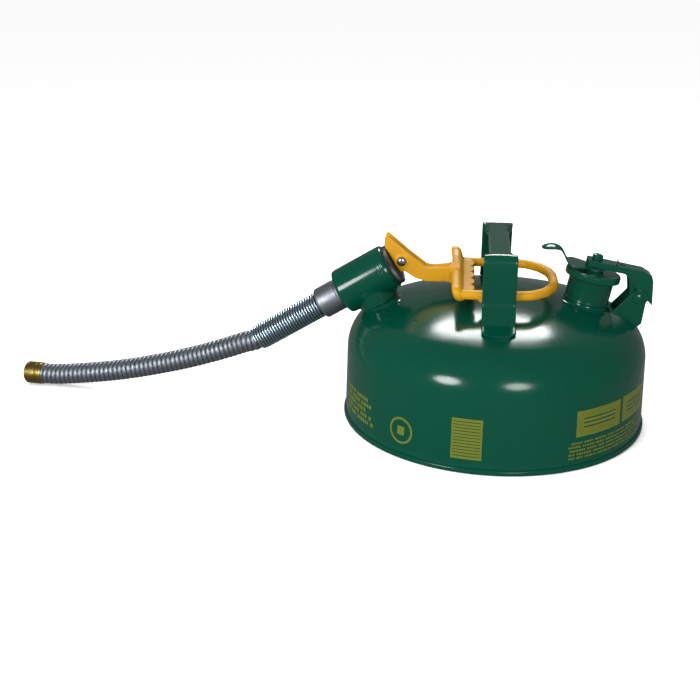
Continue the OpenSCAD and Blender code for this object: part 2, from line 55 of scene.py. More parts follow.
# an outline's own x and y become the can's X and Z, or its Y and Z
ACROSS = Matrix.Rotation(math.pi / 2, 4, "X")
ALONG = Matrix(((0, 0, 1, 0), (1, 0, 0, 0), (0, 1, 0, 0), (0, 0, 0, 1)))
# turns a lathe's axis from Z to X
LYING = Matrix.Rotation(math.pi / 2, 4, "Y")
# turns a lathe's axis from Z to -Y, towards the front
FACING = ACROSS
# corners of an outline that turn by less than this are left alone
NEARLY_STRAIGHT = math.radians(172)
# the most of an edge that one rounded corner may take up
EDGE_SHARE = 0.48
# a mesh's pointiness where rubbed edges start and end, then where hollows do
WORN_EDGES = (0.53, 0.62)
HOLLOW_EDGES = (0.47, 0.38)
# the most that hollows and seams are darkened by painted shade, as a share
HOLLOW_SHADE_SHARE = 0.6

Points = Sequence[Sequence[float]]
Mesh = bmesh.types.BMesh
Piece = bpy.types.Object
Tree = bpy.types.NodeTree
Socket = bpy.types.NodeSocket


class Body(Enum):
    """The bodies of the frame that new pieces ride on."""

    CAN = "can"
    TRIGGER = "trigger"
    CAP = "cap"


class Mark(Enum):
    """The kinds of printed mark on the wall."""

    ROWS = "rows of short bars"
    FINE_ROWS = "small rows of short bars"
    PANEL = "ruled panel"
    CARD = "panel with three bare lines"
    RING = "ring round a small block"


# ---- small helpers ----


def linear(code: str) -> tuple[float, float, float, float]:
    """Turn an sRGB hex colour into linear light.

    Args:
        code: Six hex digits, with or without a hash.

    Returns:
        Red, green, blue and alpha in linear light.
    """
    code = code.lstrip("#")
    shares = [int(code[i : i + 2], 16) / 255 for i in (0, 2, 4)]
    red, green, blue = (
        s / 12.92 if s <= 0.04045 else ((s + 0.055) / 1.055) ** 2.4 for s in shares
    )
    return red, green, blue, 1.0


def arc(
    cx: float, cy: float, radius: float, start: float, stop: float, steps: int
) -> list[Vector]:
    """Points along an arc.

    Args:
        cx: Middle, first coordinate.
        cy: Middle, second coordinate.
        radius: Radius of the arc.
        start: First angle in degrees.
        stop: Last angle in degrees.
        steps: Number of chords.

    Returns:
        The points, both ends included.
    """
    angles = [math.radians(start + (stop - start) * i / steps) for i in range(steps + 1)]
    return [Vector((cx + radius * math.cos(a), cy + radius * math.sin(a))) for a in angles]


def soften(points: Points, radius: float, closed: bool = True, steps: int = 4) -> list[Vector]:
    """Round the corners of an outline or a path.

    Args:
        points: Corners, in two or three dimensions.
        radius: Largest radius of a rounded corner.
        closed: Whether the last corner joins the first.
        steps: Chords in each rounded corner.

    Returns:
        The rounded outline or path.
    """
    corners = [Vector(p) for p in points]
    out: list[Vector] = []
    for i, here in enumerate(corners):
        if not closed and i in (0, len(corners) - 1):
            out.append(here)
            continue
        back, on = corners[i - 1] - here, corners[(i + 1) % len(corners)] - here
        inside = back.angle(on, math.pi)
        if inside > NEARLY_STRAIGHT:
            out.append(here)
            continue
        room = EDGE_SHARE * min(back.length, on.length)
        cut = min(radius / math.tan(inside / 2), room)
        first, last = here + back.normalized() * cut, here + on.normalized() * cut
        for k in range(steps + 1):
            t = k / steps
            out.append(first.lerp(here, t).lerp(here.lerp(last, t), t))
    return out


def ease(t: float) -> float:
    """A smooth step from 0 to 1."""
    t = min(max(t, 0.0), 1.0)
    return t * t * (3 - 2 * t)


# ---- meshes ----


def skin(rings: Sequence[Sequence[Vector]], looped: bool = False) -> Mesh:
    """Join rings of points into one closed surface.

    Args:
        rings: Closed rings, all with the same number of points.
        looped: Whether the last ring joins the first; if not, the ends are capped.

    Returns:
        The surface.
    """
    mesh = bmesh.new()
    rows = [[mesh.verts.new(p) for p in ring] for ring in rings]
    pairs = list(zip(rows, rows[1:]))
    if looped:
        pairs.append((rows[-1], rows[0]))
    count = len(rows[0])
    for low, high in pairs:
        for k in range(count):
            m = (k + 1) % count
            mesh.faces.new((low[k], low[m], high[m], high[k]))
    if not looped:
        mesh.faces.new(rows[0])
        mesh.faces.new(rows[-1])
    bmesh.ops.recalc_face_normals(mesh, faces=mesh.faces)
    return mesh


def lathe(outline: Points, steps: int = 128) -> Mesh:
    """Turn an outline about the Z axis.

    Args:
        outline: (radius, height) points. An outline that starts on the axis
            ends on it too, and any other closes on itself.
        steps: Facets round the axis.

    Returns:
        The turned solid.
    """
    mesh = bmesh.new()
    rings = []
    for radius, height in outline:
        if radius < 1e-6:
            rings.append([mesh.verts.new((0, 0, height))])
            continue
        angles = [2 * math.pi * k / steps for k in range(steps)]
        rings.append(
            [mesh.verts.new((radius * math.cos(a), radius * math.sin(a), height)) for a in angles]
        )
    pairs = list(zip(rings, rings[1:]))
    if outline[0][0] > 1e-6:
        pairs.append((rings[-1], rings[0]))
    for low, high in pairs:
        for k in range(steps):
            m = k + 1
            corners = (
                low[k % len(low)], low[m % len(low)], high[m % len(high)], high[k % len(high)]
            )
            unique = list(dict.fromkeys(corners))
            if len(unique) > 2:
                mesh.faces.new(unique)
    bmesh.ops.recalc_face_normals(mesh, faces=mesh.faces)
    return mesh


def slab(outline: Points, low: float, high: float, place: Matrix = Matrix.Identity(4)) -> Mesh:
    """A plate of even thickness.

    Args:
        outline: The plate's corners in its own plane.
        low: Where the plate starts across its thickness.
        high: Where it ends.
        place: Where the plate's plane goes.

    Returns:
        The plate.
    """
    mesh = skin([[Vector((p[0], p[1], h)) for p in outline] for h in (low, high)])
    mesh.transform(place)
    return mesh


def tube(path: Sequence[Vector], section: Points, up: Vector) -> Mesh:
    """Sweep a section along a path.

    Args:
        path: Points of the path.
        section: (sideways, upwards) offsets of the section's corners.
        up: A direction that the path never runs along.

    Returns:
        The bar, capped at both ends.
    """
    rings = []
    for i, here in enumerate(path):
        way = (path[min(i + 1, len(path) - 1)] - path[max(i - 1, 0)]).normalized()
        side = up.cross(way).normalized()
        rise = way.cross(side)
        rings.append([here + side * s + rise * r for s, r in section])
    return skin(rings)


def round_section(radius: float, sides: int) -> list[Vector]:
    """Corners of a round bar's section."""
    return arc(0, 0, radius, 0, 360 - 360 / sides, sides - 1)


def joined(*parts: Mesh) -> Mesh:
    """Put several meshes into one.

    Args:
        parts: The meshes, which are used up.

    Returns:
        One mesh with all of them.
    """
    whole = bmesh.new()
    for part in parts:
        data = bpy.data.meshes.new("part")
        part.to_mesh(data)
        part.free()
        whole.from_mesh(data)
        bpy.data.meshes.remove(data)
    return whole


def worked(
    mesh: Mesh, setups: Sequence[tuple[str, dict[str, object]]], cutter: Mesh | None = None
) -> Mesh:
    """Run modifiers over a mesh and keep the result.

    Args:
        mesh: The mesh, which is used up.
        setups: Modifier types with their settings, in order.
        cutter: A mesh that a boolean modifier takes away.

    Returns:
        The worked mesh.
    """
    objects = []
    for source in [mesh] + ([cutter] if cutter else []):
        data = bpy.data.meshes.new("bench")
        source.to_mesh(data)
        source.free()
        objects.append(bpy.data.objects.new("bench", data))
        bpy.context.scene.collection.objects.link(objects[-1])
    for kind, settings in setups:
        modifier = objects[0].modifiers.new(kind, kind)
        for key, value in settings.items():
            setattr(modifier, key, value)
        if kind == "BOOLEAN":
            modifier.object = objects[1]
    graph = bpy.context.evaluated_depsgraph_get()
    done = bpy.data.meshes.new_from_object(objects[0].evaluated_get(graph))
    result = bmesh.new()
    result.from_mesh(done)
    for item in objects:
        data = item.data
        bpy.data.objects.remove(item)
        bpy.data.meshes.remove(data)
    bpy.data.meshes.remove(done)
    return result


def carved(mesh: Mesh, cutter: Mesh) -> Mesh:
    """Cut one solid out of another."""
    return worked(mesh, [("BOOLEAN", {"operation": "DIFFERENCE", "solver": "EXACT"})], cutter)


def cast(mesh: Mesh, voxel: float, smoothing: int) -> Mesh:
    """Melt overlapping solids into one casting with soft corners.

    Args:
        mesh: The solids, which are used up.
        voxel: Size of the grid that they are rebuilt on.
        smoothing: Rounds of smoothing, which set the size of the fillets.

    Returns:
        The casting.
    """
    setups = [
        ("REMESH", {"mode": "VOXEL", "voxel_size": voxel, "adaptivity": 0.0}),
        ("SMOOTH", {"factor": 0.5, "iterations": smoothing}),
    ]
    return worked(mesh, setups)


# ---- finishes ----


def add_node(
    tree: Tree, kind: str, inputs: dict[str | int, object] | None = None,
    **settings: object,
) -> bpy.types.Node:
    """Add one node with its settings and links.

    Args:
        tree: The node tree.
        kind: The node's type.
        inputs: Values for its sockets, or the outputs that feed them.
        settings: Properties of the node.

    Returns:
        The node.
    """
    node = tree.nodes.new(kind)
    for key, value in settings.items():
        setattr(node, key, value)
    for key, value in (inputs or {}).items():
        if isinstance(value, Socket):
            tree.links.new(value, node.inputs[key])
        else:
            node.inputs[key].default_value = value
    return node


@dataclass(frozen=True)
class Finish:
    """A surface finish, made once and shared by every piece that has it.

    The colour drifts between two shades in soft clouds, the roughness drifts
    with it, and a fine grain stands up as bump. Hollow edges and hose seams
    get painted shade, a darker copy of the colour, and proud edges show the
    wear colour.
    """

    name: str
    slot: str
    colour: str
    drift: str                  # second shade of the clouds
    # painted shade: a darker copy of the colour, laid into hollow corners and seams
    hollow_shade: str                  # shade of hollow corners and grooves
    wear: str                   # shade of rubbed edges
    metallic: float = 0.0
    roughness: tuple[float, float] = (0.2, 0.3)
    cloud: float = 40.0         # size of the clouds, in millimetres
    grain: float = 1.0          # size of the grain, in millimetres
    depth: float = 0.02         # height of the grain, in millimetres
    stretch: tuple[float, float, float] = (1.0, 1.0, 1.0)
    wear_share: float = 0.3     # how much of the wear colour shows
    specular: float = 0.5

    def pattern(self, tree: Tree, place: Socket) -> Socket:
        """The height of the surface's own grain, from 0 to 1."""
        return add_node(
            tree, "ShaderNodeTexNoise",
            {"Vector": place, "Scale": 1 / (self.grain * MM), "Detail": 2.0, "Roughness": 0.5},
        ).outputs["Fac"]

    def material(self) -> bpy.types.Material:
        """The finish as a material.

        Returns:
            The material, which is made on first use.
        """
        made = bpy.data.materials.get(self.name)
        if made:
            return made
        made = bpy.data.materials.new(self.name)
        made.use_nodes = True
        tree = made.node_tree
        tree.nodes.clear()
        coords = add_node(tree, "ShaderNodeTexCoord")
        place = add_node(
            tree, "ShaderNodeMapping", {"Vector": coords.outputs["Object"], "Scale": self.stretch}
        ).outputs["Vector"]
        clouds = add_node(
            tree, "ShaderNodeTexNoise",
            {"Vector": place, "Scale": 1 / (self.cloud * MM), "Detail": 4.0, "Roughness": 0.6},
        )
        shade = self.blend(tree, clouds.outputs["Fac"], linear(self.colour), linear(self.drift))
        grain = self.pattern(tree, place)
        edges = add_node(tree, "ShaderNodeNewGeometry").outputs["Pointiness"]
        worn = add_node(
            tree, "ShaderNodeMapRange",
            {"Value": edges, "From Min": WORN_EDGES[0], "From Max": WORN_EDGES[1],
             "To Min": 0.0, "To Max": self.wear_share},
        ).outputs["Result"]
        shade = self.blend(tree, worn, shade, linear(self.wear))
        # painted shade: hollows (low pointiness) and hose seams (the groove attribute) are darkened
        # towards a darker copy of the colour, as if in shadow
        hollow = add_node(
            tree, "ShaderNodeMapRange",
            {"Value": edges, "From Min": HOLLOW_EDGES[0], "From Max": HOLLOW_EDGES[1],
             "To Min": 0.0, "To Max": HOLLOW_SHADE_SHARE},
        ).outputs["Result"]
        groove = add_node(tree, "ShaderNodeAttribute", attribute_name="groove").outputs["Fac"]
        hollow = add_node(
            tree, "ShaderNodeMath", {0: hollow, 1: groove}, operation="MAXIMUM"
        ).outputs[0]
        shade = self.blend(tree, hollow, shade, linear(self.hollow_shade))
        gloss = add_node(
            tree, "ShaderNodeMapRange",
            {"Value": clouds.outputs["Fac"], "From Min": 0.3, "From Max": 0.7,
             "To Min": self.roughness[0], "To Max": self.roughness[1]},
        ).outputs["Result"]
        bump = add_node(
            tree, "ShaderNodeBump",
            {"Height": grain, "Strength": 1.0, "Distance": self.depth * MM},
        )
        surface = add_node(
            tree, "ShaderNodeBsdfPrincipled",
            {"Base Color": shade, "Metallic": self.metallic, "Roughness": gloss,
             "Specular IOR Level": self.specular, "Normal": bump.outputs["Normal"]},
        )
        add_node(tree, "ShaderNodeOutputMaterial", {"Surface": surface.outputs["BSDF"]})
        return made

    @staticmethod
    def blend(tree: Tree, share: object, first: object, second: object) -> Socket:
        """Blend two colours by a share from 0 to 1."""
        node = add_node(tree, "ShaderNodeMix", {0: share, 6: first, 7: second}, data_type="RGBA")
        return node.outputs[2]


@dataclass(frozen=True)
class WireCloth(Finish):
    """Perforated arrester sheet: a finish whose grain is rows of round holes."""

    def pattern(self, tree: Tree, place: Socket) -> Socket:
        """The sheet's height, which drops into each hole."""
        cells = add_node(
            tree, "ShaderNodeTexVoronoi",
            {"Vector": place, "Scale": 1 / (self.grain * MM), "Randomness": 0.0},
        )
        return add_node(
            tree, "ShaderNodeMapRange",
            {"Value": cells.outputs["Distance"], "From Min": 0.25, "From Max": 0.35},
        ).outputs["Result"]


# Gloss powder coat on steel: deep and wet-looking, with a faint orange peel
# that only shows where a light's reflection breaks up.
GREEN_PAINT = Finish(
    "green_powder_coat", "green_paint", "#003628", "#013b2b", "#001a12", "#1a5944",
    roughness=(0.11, 0.19), cloud=55, grain=2.6, depth=0.012, wear_share=0.22, specular=0.3,
)
# Satin powder coat over a sand-cast lever: warm, soft highlights and a skin
# that is slightly rough to the eye, with painted shade of darker orange in the
# corners.
YELLOW_PAINT = Finish(
    "yellow_coated_casting", "yellow_paint", "#b68500", "#aa7700", "#663b00", "#c59813",
    roughness=(0.36, 0.48), cloud=18, grain=1.6, depth=0.10, wear_share=0.5, specular=0.26,
)
# Die-cast zinc nut: dull silver with darker, mottled patches.
CAST_ZINC = Finish(
    "die_cast_zinc", "zinc_steel", "#a3a9b1", "#767c84", "#2b2f33", "#c8cdd3",
    metallic=1.0, roughness=(0.42, 0.58), cloud=9, grain=1.2, depth=0.06,
)
# Galvanised strip wound into a hose: grey and even, with painted shade that turns the seams black.
HOSE_STRIP = Finish(
    "galvanised_strip", "zinc_steel", "#9ba2aa", "#858c94", "#17191b", "#c2c8ce",
    metallic=1.0, roughness=(0.42, 0.55), cloud=14, grain=0.9, depth=0.02,
)
# Bright zinc-plated spring wire: bluish, with sharp lights along each turn.
SPRING_WIRE = Finish(
    "plated_spring_wire", "spring_steel", "#b3c6d1", "#9db2be", "#1a1f24", "#dfe9ee",
    metallic=1.0, roughness=(0.24, 0.34), cloud=12, grain=0.6, depth=0.008,
)
# Blackened steel of the knurled bonnet: dark grey, light only on its ridges.
BLACKENED_STEEL = Finish(
    "blackened_steel", "dark_steel", "#666a6d", "#53575a", "#0f1011", "#9a9ea1",
    metallic=1.0, roughness=(0.46, 0.6), cloud=6, grain=0.8, depth=0.03,
)
# Polished rivet steel: mirrors the dim room, so it looks near black, with one
# small bright light.
PIN_STEEL = Finish(
    "rivet_steel", "dark_steel", "#b3b8be", "#979da4", "#2b2e32", "#dde1e5",
    metallic=1.0, roughness=(0.2, 0.3), cloud=5, grain=0.5, depth=0.01,
)
# Turned brass gone dull: olive gold, with darker tarnish.
BRASS = Finish(
    "tarnished_brass", "brass", "#9f8d4a", "#74632d", "#332a0f", "#c4b16c",
    metallic=1.0, roughness=(0.34, 0.5), cloud=7, grain=0.8, depth=0.02,
)
# Moulded nitrile rubber: matt black with a fine skin.
RUBBER = Finish(
    "nitrile_rubber", "black_rubber", "#1b1c1e", "#232427", "#0b0b0c", "#2f3033",
    roughness=(0.55, 0.7), cloud=8, grain=0.5, depth=0.02, specular=0.4,
)
# Zinc-plated perforated sheet: dull silver with small dark holes, drawn a
# little coarser than the real 1 mm holes so that they show.
ARRESTER_SHEET = WireCloth(
    "perforated_sheet", "zinc_steel", "#b9bec4", "#a3a8ae", "#1a1b1d", "#d5d9dd",
    metallic=1.0, roughness=(0.3, 0.4), cloud=10, grain=2.2, depth=0.4,
)
# Screen-printed ink: flat olive yellow, a little broken by the green below.
YELLOW_INK = Finish(
    "screen_printed_ink", "yellow_paint", "#545c04", "#4b5506", "#294312", "#636a12",
    roughness=(0.3, 0.42), cloud=3, grain=0.8, depth=0.004,
)


def make_piece(
    name: str, mesh: Mesh, finish: Finish, body: Body, replaced: Sequence[str] = (),
    place: Matrix = Matrix.Identity(4), sharp: float = 38.0,
) -> Piece:
    """Turn a mesh into a finished piece that rides on a body.

    Args:
        name: The piece's name.
        mesh: Its shape in millimetres, which is used up.
        finish: Its surface finish.
        body: The body that it rides on.
        replaced: The nodes that it stands for.
        place: Where the shape goes, in millimetres.
        sharp: Edges that turn by more than this many degrees stay crisp.

    Returns:
        The piece.
    """
    mesh.transform(Matrix.Scale(MM, 4) @ place)
    data = bpy.data.meshes.new(name)
    mesh.to_mesh(data)
    mesh.free()
    data.polygons.foreach_set("use_smooth", [True] * len(data.polygons))
    data.set_sharp_from_angle(angle=math.radians(sharp))
    data.materials.append(finish.material())
    piece = bpy.data.objects.new(name, data)
    bpy.context.scene.collection.objects.link(piece)
    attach(piece, body.value)
    if replaced:
        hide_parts(*replaced)
    log.info("%s: %d faces on %s", name, len(data.polygons), body.value)
    return piece


def dress_node(name: str, finish: Finish, bevel: float = 0.0) -> Piece:
    """Give a node of the frame its finish, and soft edges.

    Args:
        name: The node.
        finish: Its surface finish.
        bevel: Width of its rounded edges, in millimetres.

    Returns:
        The node's object.
    """
    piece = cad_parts[name]
    piece.data.materials.clear()
    piece.data.materials.append(finish.material())
    if bevel:
        weld = piece.modifiers.new("weld", "WELD")
        weld.merge_threshold = 0.005 * MM
        round_off = piece.modifiers.new("round_off", "BEVEL")
        round_off.width = bevel * MM
        round_off.segments = 3
        round_off.limit_method = "ANGLE"
        round_off.angle_limit = math.radians(30)
        round_off.harden_normals = True
    log.info("%s keeps its shape", name)
    return piece


def weld_ring(
    place: Matrix, radius: float, outside: Callable[[Vector], float], size: float,
    low: float, high: float, steps: int = 120,
) -> Mesh:
    """The hollow fillet where a pipe meets a curved skin.

    Args:
        place: The pipe's own frame, with its axis along Z, out of the skin.
        radius: The pipe's radius.
        outside: How far a point is outside the skin; negative within it.
        size: Reach of the fillet along the pipe and along the skin.
        low: A height on the axis that is within the skin all round.
        high: A height that is outside it all round.
        steps: Sections round the pipe.

    Returns:
        The ring.
    """

    # how far the fillet stands out, how far its hidden side is sunk, and its steps
    proud, bury, wall, halvings, chords = 0.06, 0.8, 0.6, 30, 8

    def foot(reach: float, angle: float) -> float:
        """Height at which a line along the pipe meets the skin."""
        inner, outer = low, high
        for _ in range(halvings):
            middle = (inner + outer) / 2
            point = place @ Vector((reach * math.cos(angle), reach * math.sin(angle), middle))
            if outside(point) < 0:
                inner = middle
            else:
                outer = middle
        return outer

    rings = []
    for i in range(steps):
        angle = 2 * math.pi * i / steps
        base, far = foot(radius, angle), foot(radius + size, angle)
        top, corner, end = (
            Vector((radius, base + size)), Vector((radius, base)), Vector((radius + size, far)),
        )
        shares = [k / chords for k in range(chords + 1)]
        curve = [
            top.lerp(corner, t).lerp(corner.lerp(end, t), t) + Vector((proud, proud))
            for t in shares
        ]
        hidden = [
            end + Vector((0, -bury)), Vector((radius - wall, base - bury)),
            top + Vector((-wall, 0)),
        ]
        rings.append([
            place @ Vector((q.x * math.cos(angle), q.x * math.sin(angle), q.y))
            for q in curve + hidden
        ])
    return skin(rings, looped=True)


# ---- studio ----


@dataclass
class Studio:
    """Camera, pale floor and soft lights."""

    camera_at: tuple[float, float, float] = (-0.0345, -0.9098, 0.393)
    camera_turn: tuple[float, float, float] = (69.79, 0.0, 6.5)
    lens: float = 51.59
    floor_half: float = 60.0
    floor_drop: float = 0.0002  # keeps the floor just clear of the chime
    floor_glow: float = 0.16    # a little light of the paper's own, as on a light table
    ambient: float = 0.40       # even light of the room on every surface
    room: float = 0.19          # brightness of the room in reflections
    ceiling: float = 1.8        # strength of the broad light from above
    ceiling_spread: float = 50.0
    ceiling_turn: tuple[float, float, float] = (22.0, -20.0, 0.0)
    # name, place, size in metres, power in watts
    boxes: list[tuple[str, tuple[float, float, float], tuple[float, float], float]] = field(
        default_factory=lambda: [
            ("left_softbox", (-1.17, -1.68, 0.74), (0.66, 0.62), 27.0),
            ("right_softbox", (0.58, -1.97, 0.70), (0.62, 0.56), 16.0),
            ("back_softbox", (0.03, 1.40, 1.48), (0.9, 0.55), 24.0),
        ]
    )

    def build_camera(self) -> None:
        """Set up the camera."""
        data = bpy.data.cameras.new("camera")
        data.lens, data.sensor_width = self.lens, 36.0
        data.clip_start = 0.01
        camera = bpy.data.objects.new("camera", data)
        camera.location = self.camera_at
        camera.rotation_euler = [math.radians(a) for a in self.camera_turn]
        bpy.context.scene.collection.objects.link(camera)
        bpy.context.scene.camera = camera

    def build_floor(self) -> None:
        """Lay a plain pale floor under the can."""
        mesh = bmesh.new()
        bmesh.ops.create_grid(mesh, x_segments=1, y_segments=1, size=self.floor_half)
        data = bpy.data.meshes.new("floor")
        mesh.to_mesh(data)
        mesh.free()
        paper = bpy.data.materials.new("white_paper_sweep")
        paper.use_nodes = True
        surface = paper.node_tree.nodes["Principled BSDF"]
        surface.inputs["Base Color"].default_value = linear("#fafafa")
        surface.inputs["Roughness"].default_value = 0.9
        surface.inputs["Emission Color"].default_value = linear("#ffffff")
        surface.inputs["Emission Strength"].default_value = self.floor_glow
        data.materials.append(paper)
        floor = bpy.data.objects.new("floor", data)
        floor.location.z = -self.floor_drop
        floor.visible_glossy = False
        bpy.context.scene.collection.objects.link(floor)

    def build_lights(self) -> None:
        """Light the can with softboxes and an even room."""
        for name, place, size, power in self.boxes:
            data = bpy.data.lights.new(name, "AREA")
            data.shape = "ELLIPSE"
            data.size, data.size_y = size
            data.energy = power
            lamp = bpy.data.objects.new(name, data)
            lamp.location = place
            aim = Vector((0, 0, 0.08)) - Vector(place)
            lamp.rotation_euler = aim.to_track_quat("-Z", "Y").to_euler()
            bpy.context.scene.collection.objects.link(lamp)
        broad = bpy.data.lights.new("ceiling_panel", "SUN")
        broad.energy, broad.angle = self.ceiling, math.radians(self.ceiling_spread)
        lamp = bpy.data.objects.new("ceiling_panel", broad)
        lamp.rotation_euler = [math.radians(a) for a in self.ceiling_turn]
        lamp.visible_glossy = False
        bpy.context.scene.collection.objects.link(lamp)
        bpy.context.scene.view_settings.view_transform = "Standard"
        world = bpy.data.worlds.new("studio_room")
        bpy.context.scene.world = world
        world.use_nodes = True
        tree = world.node_tree
        tree.nodes.clear()
        # the backdrop is white, the room's light is even, and reflections are dim
        path = add_node(tree, "ShaderNodeLightPath")
        lit = add_node(
            tree, "ShaderNodeMapRange",
            {"Value": path.outputs["Is Glossy Ray"], "To Min": self.ambient, "To Max": self.room},
        ).outputs["Result"]
        glow = add_node(
            tree, "ShaderNodeMath", {0: path.outputs["Is Camera Ray"], 1: lit}, operation="MAXIMUM"
        ).outputs[0]
        sky = add_node(
            tree, "ShaderNodeBackground", {"Color": (1.0, 1.0, 1.0, 1.0), "Strength": glow}
        )
        add_node(tree, "ShaderNodeOutputWorld", {"Surface": sky.outputs["Background"]})


# ---- body ----


@dataclass
class SteelBody:
    """The can's shell: a wall that turns over a shoulder into a low dome."""

    wall_r: float = 141.0
    lean: float = 1.5           # how far the wall leans in below the shoulder
    shoulder_z: float = 66.0
    shoulder_r: float = 40.0
    slope: float = 17.0         # degrees, where the shoulder meets the dome
    pan_z: float = 4.0
    foot_z: float = 14.0
    sheet: float = 1.0
    chime_r: float = 143.0
    chime_h: float = 5.2

    @property
    def shoulder_cr(self) -> float:
        """Radius of the circle that the shoulder's middle runs on."""
        return self.wall_r - self.lean - self.shoulder_r

    @property
    def dome(self) -> tuple[float, float]:
        """Radius of the dome and the height of its middle."""
        tilt = math.radians(self.slope)
        edge = self.shoulder_cr + self.shoulder_r * math.sin(tilt)
        radius = edge / math.sin(tilt)
        return radius, self.shoulder_z + (self.shoulder_r - radius) * math.cos(tilt)

    def outline(self, inset: float) -> list[Vector]:
        """Outline of the sheet's outer face, or of its inner one.

        Args:
            inset: Distance in from the outer face.

        Returns:
            Points from the foot up to the axis.
        """
        radius, middle = self.dome
        foot = [
            Vector((self.wall_r - inset, self.pan_z)),
            Vector((self.wall_r - inset, self.foot_z - 2)),
            Vector((self.wall_r - inset - 0.03, self.foot_z + 2)),
        ]
        shoulder = arc(
            self.shoulder_cr, self.shoulder_z, self.shoulder_r - inset, 0, 90 - self.slope, 40
        )
        top = arc(0, middle, radius - inset, 90 - self.slope + 0.6, 90, 26)
        top[-1].x = 0.0
        return foot + shoulder + top

    def top_at(self, radius: float) -> float:
        """Height of the skin at a distance from the axis."""
        dome_r, middle = self.dome
        edge = dome_r * math.sin(math.radians(self.slope))
        if radius <= edge:
            return middle + math.sqrt(dome_r**2 - radius**2)
        reach = min(radius - self.shoulder_cr, self.shoulder_r)
        return self.shoulder_z + math.sqrt(max(self.shoulder_r**2 - reach**2, 0))

    def wall_at(self, height: float) -> float:
        """Radius of the wall at a height."""
        if height >= self.shoulder_z:
            rise = height - self.shoulder_z
            return self.shoulder_cr + math.sqrt(max(self.shoulder_r**2 - rise**2, 0))
        share = (height - self.foot_z) / (self.shoulder_z - self.foot_z)
        return self.wall_r - self.lean * min(max(share, 0), 1)

    def outside(self, point: Vector) -> float:
        """How far a point is above the skin."""
        return point.z - self.top_at(math.hypot(point.x, point.y))

    def build(self, necks: Sequence[tuple[Matrix, float]]) -> None:
        """Make the shell, its chime and its pan.

        Args:
            necks: Frame and radius of each neck that passes through the dome.
        """
        outer, inner = self.outline(0), self.outline(self.sheet)
        shell = lathe([*outer, *reversed(inner)], 240)
        # both faces end on the axis, so the sheet closes into one solid
        for place, radius in necks:
            bore, low, high = radius - 0.8, -60, -6
            hole = lathe([(0, low), (bore, low), (bore, high), (0, high)], 72)
            hole.transform(place)
            shell = carved(shell, hole)
        make_piece("shell", shell, GREEN_PAINT, Body.CAN, ["body_shell"], sharp=30)
        r, top, back = self.chime_r, self.chime_h, self.wall_r - 0.2
        chime = soften(
            [
                (r - 5, 0.0), (r - 0.8, 0.0), (r, 1.3), (r, top - 1.6), (r - 0.8, top - 0.3),
                (back, top), (back, self.pan_z), (r - 5, self.pan_z),
            ],
            1.2,
        )
        make_piece("chime", lathe(chime, 240), GREEN_PAINT, Body.CAN, ["base_chime"])
        dress_node("base_pan", GREEN_PAINT, 0.4)


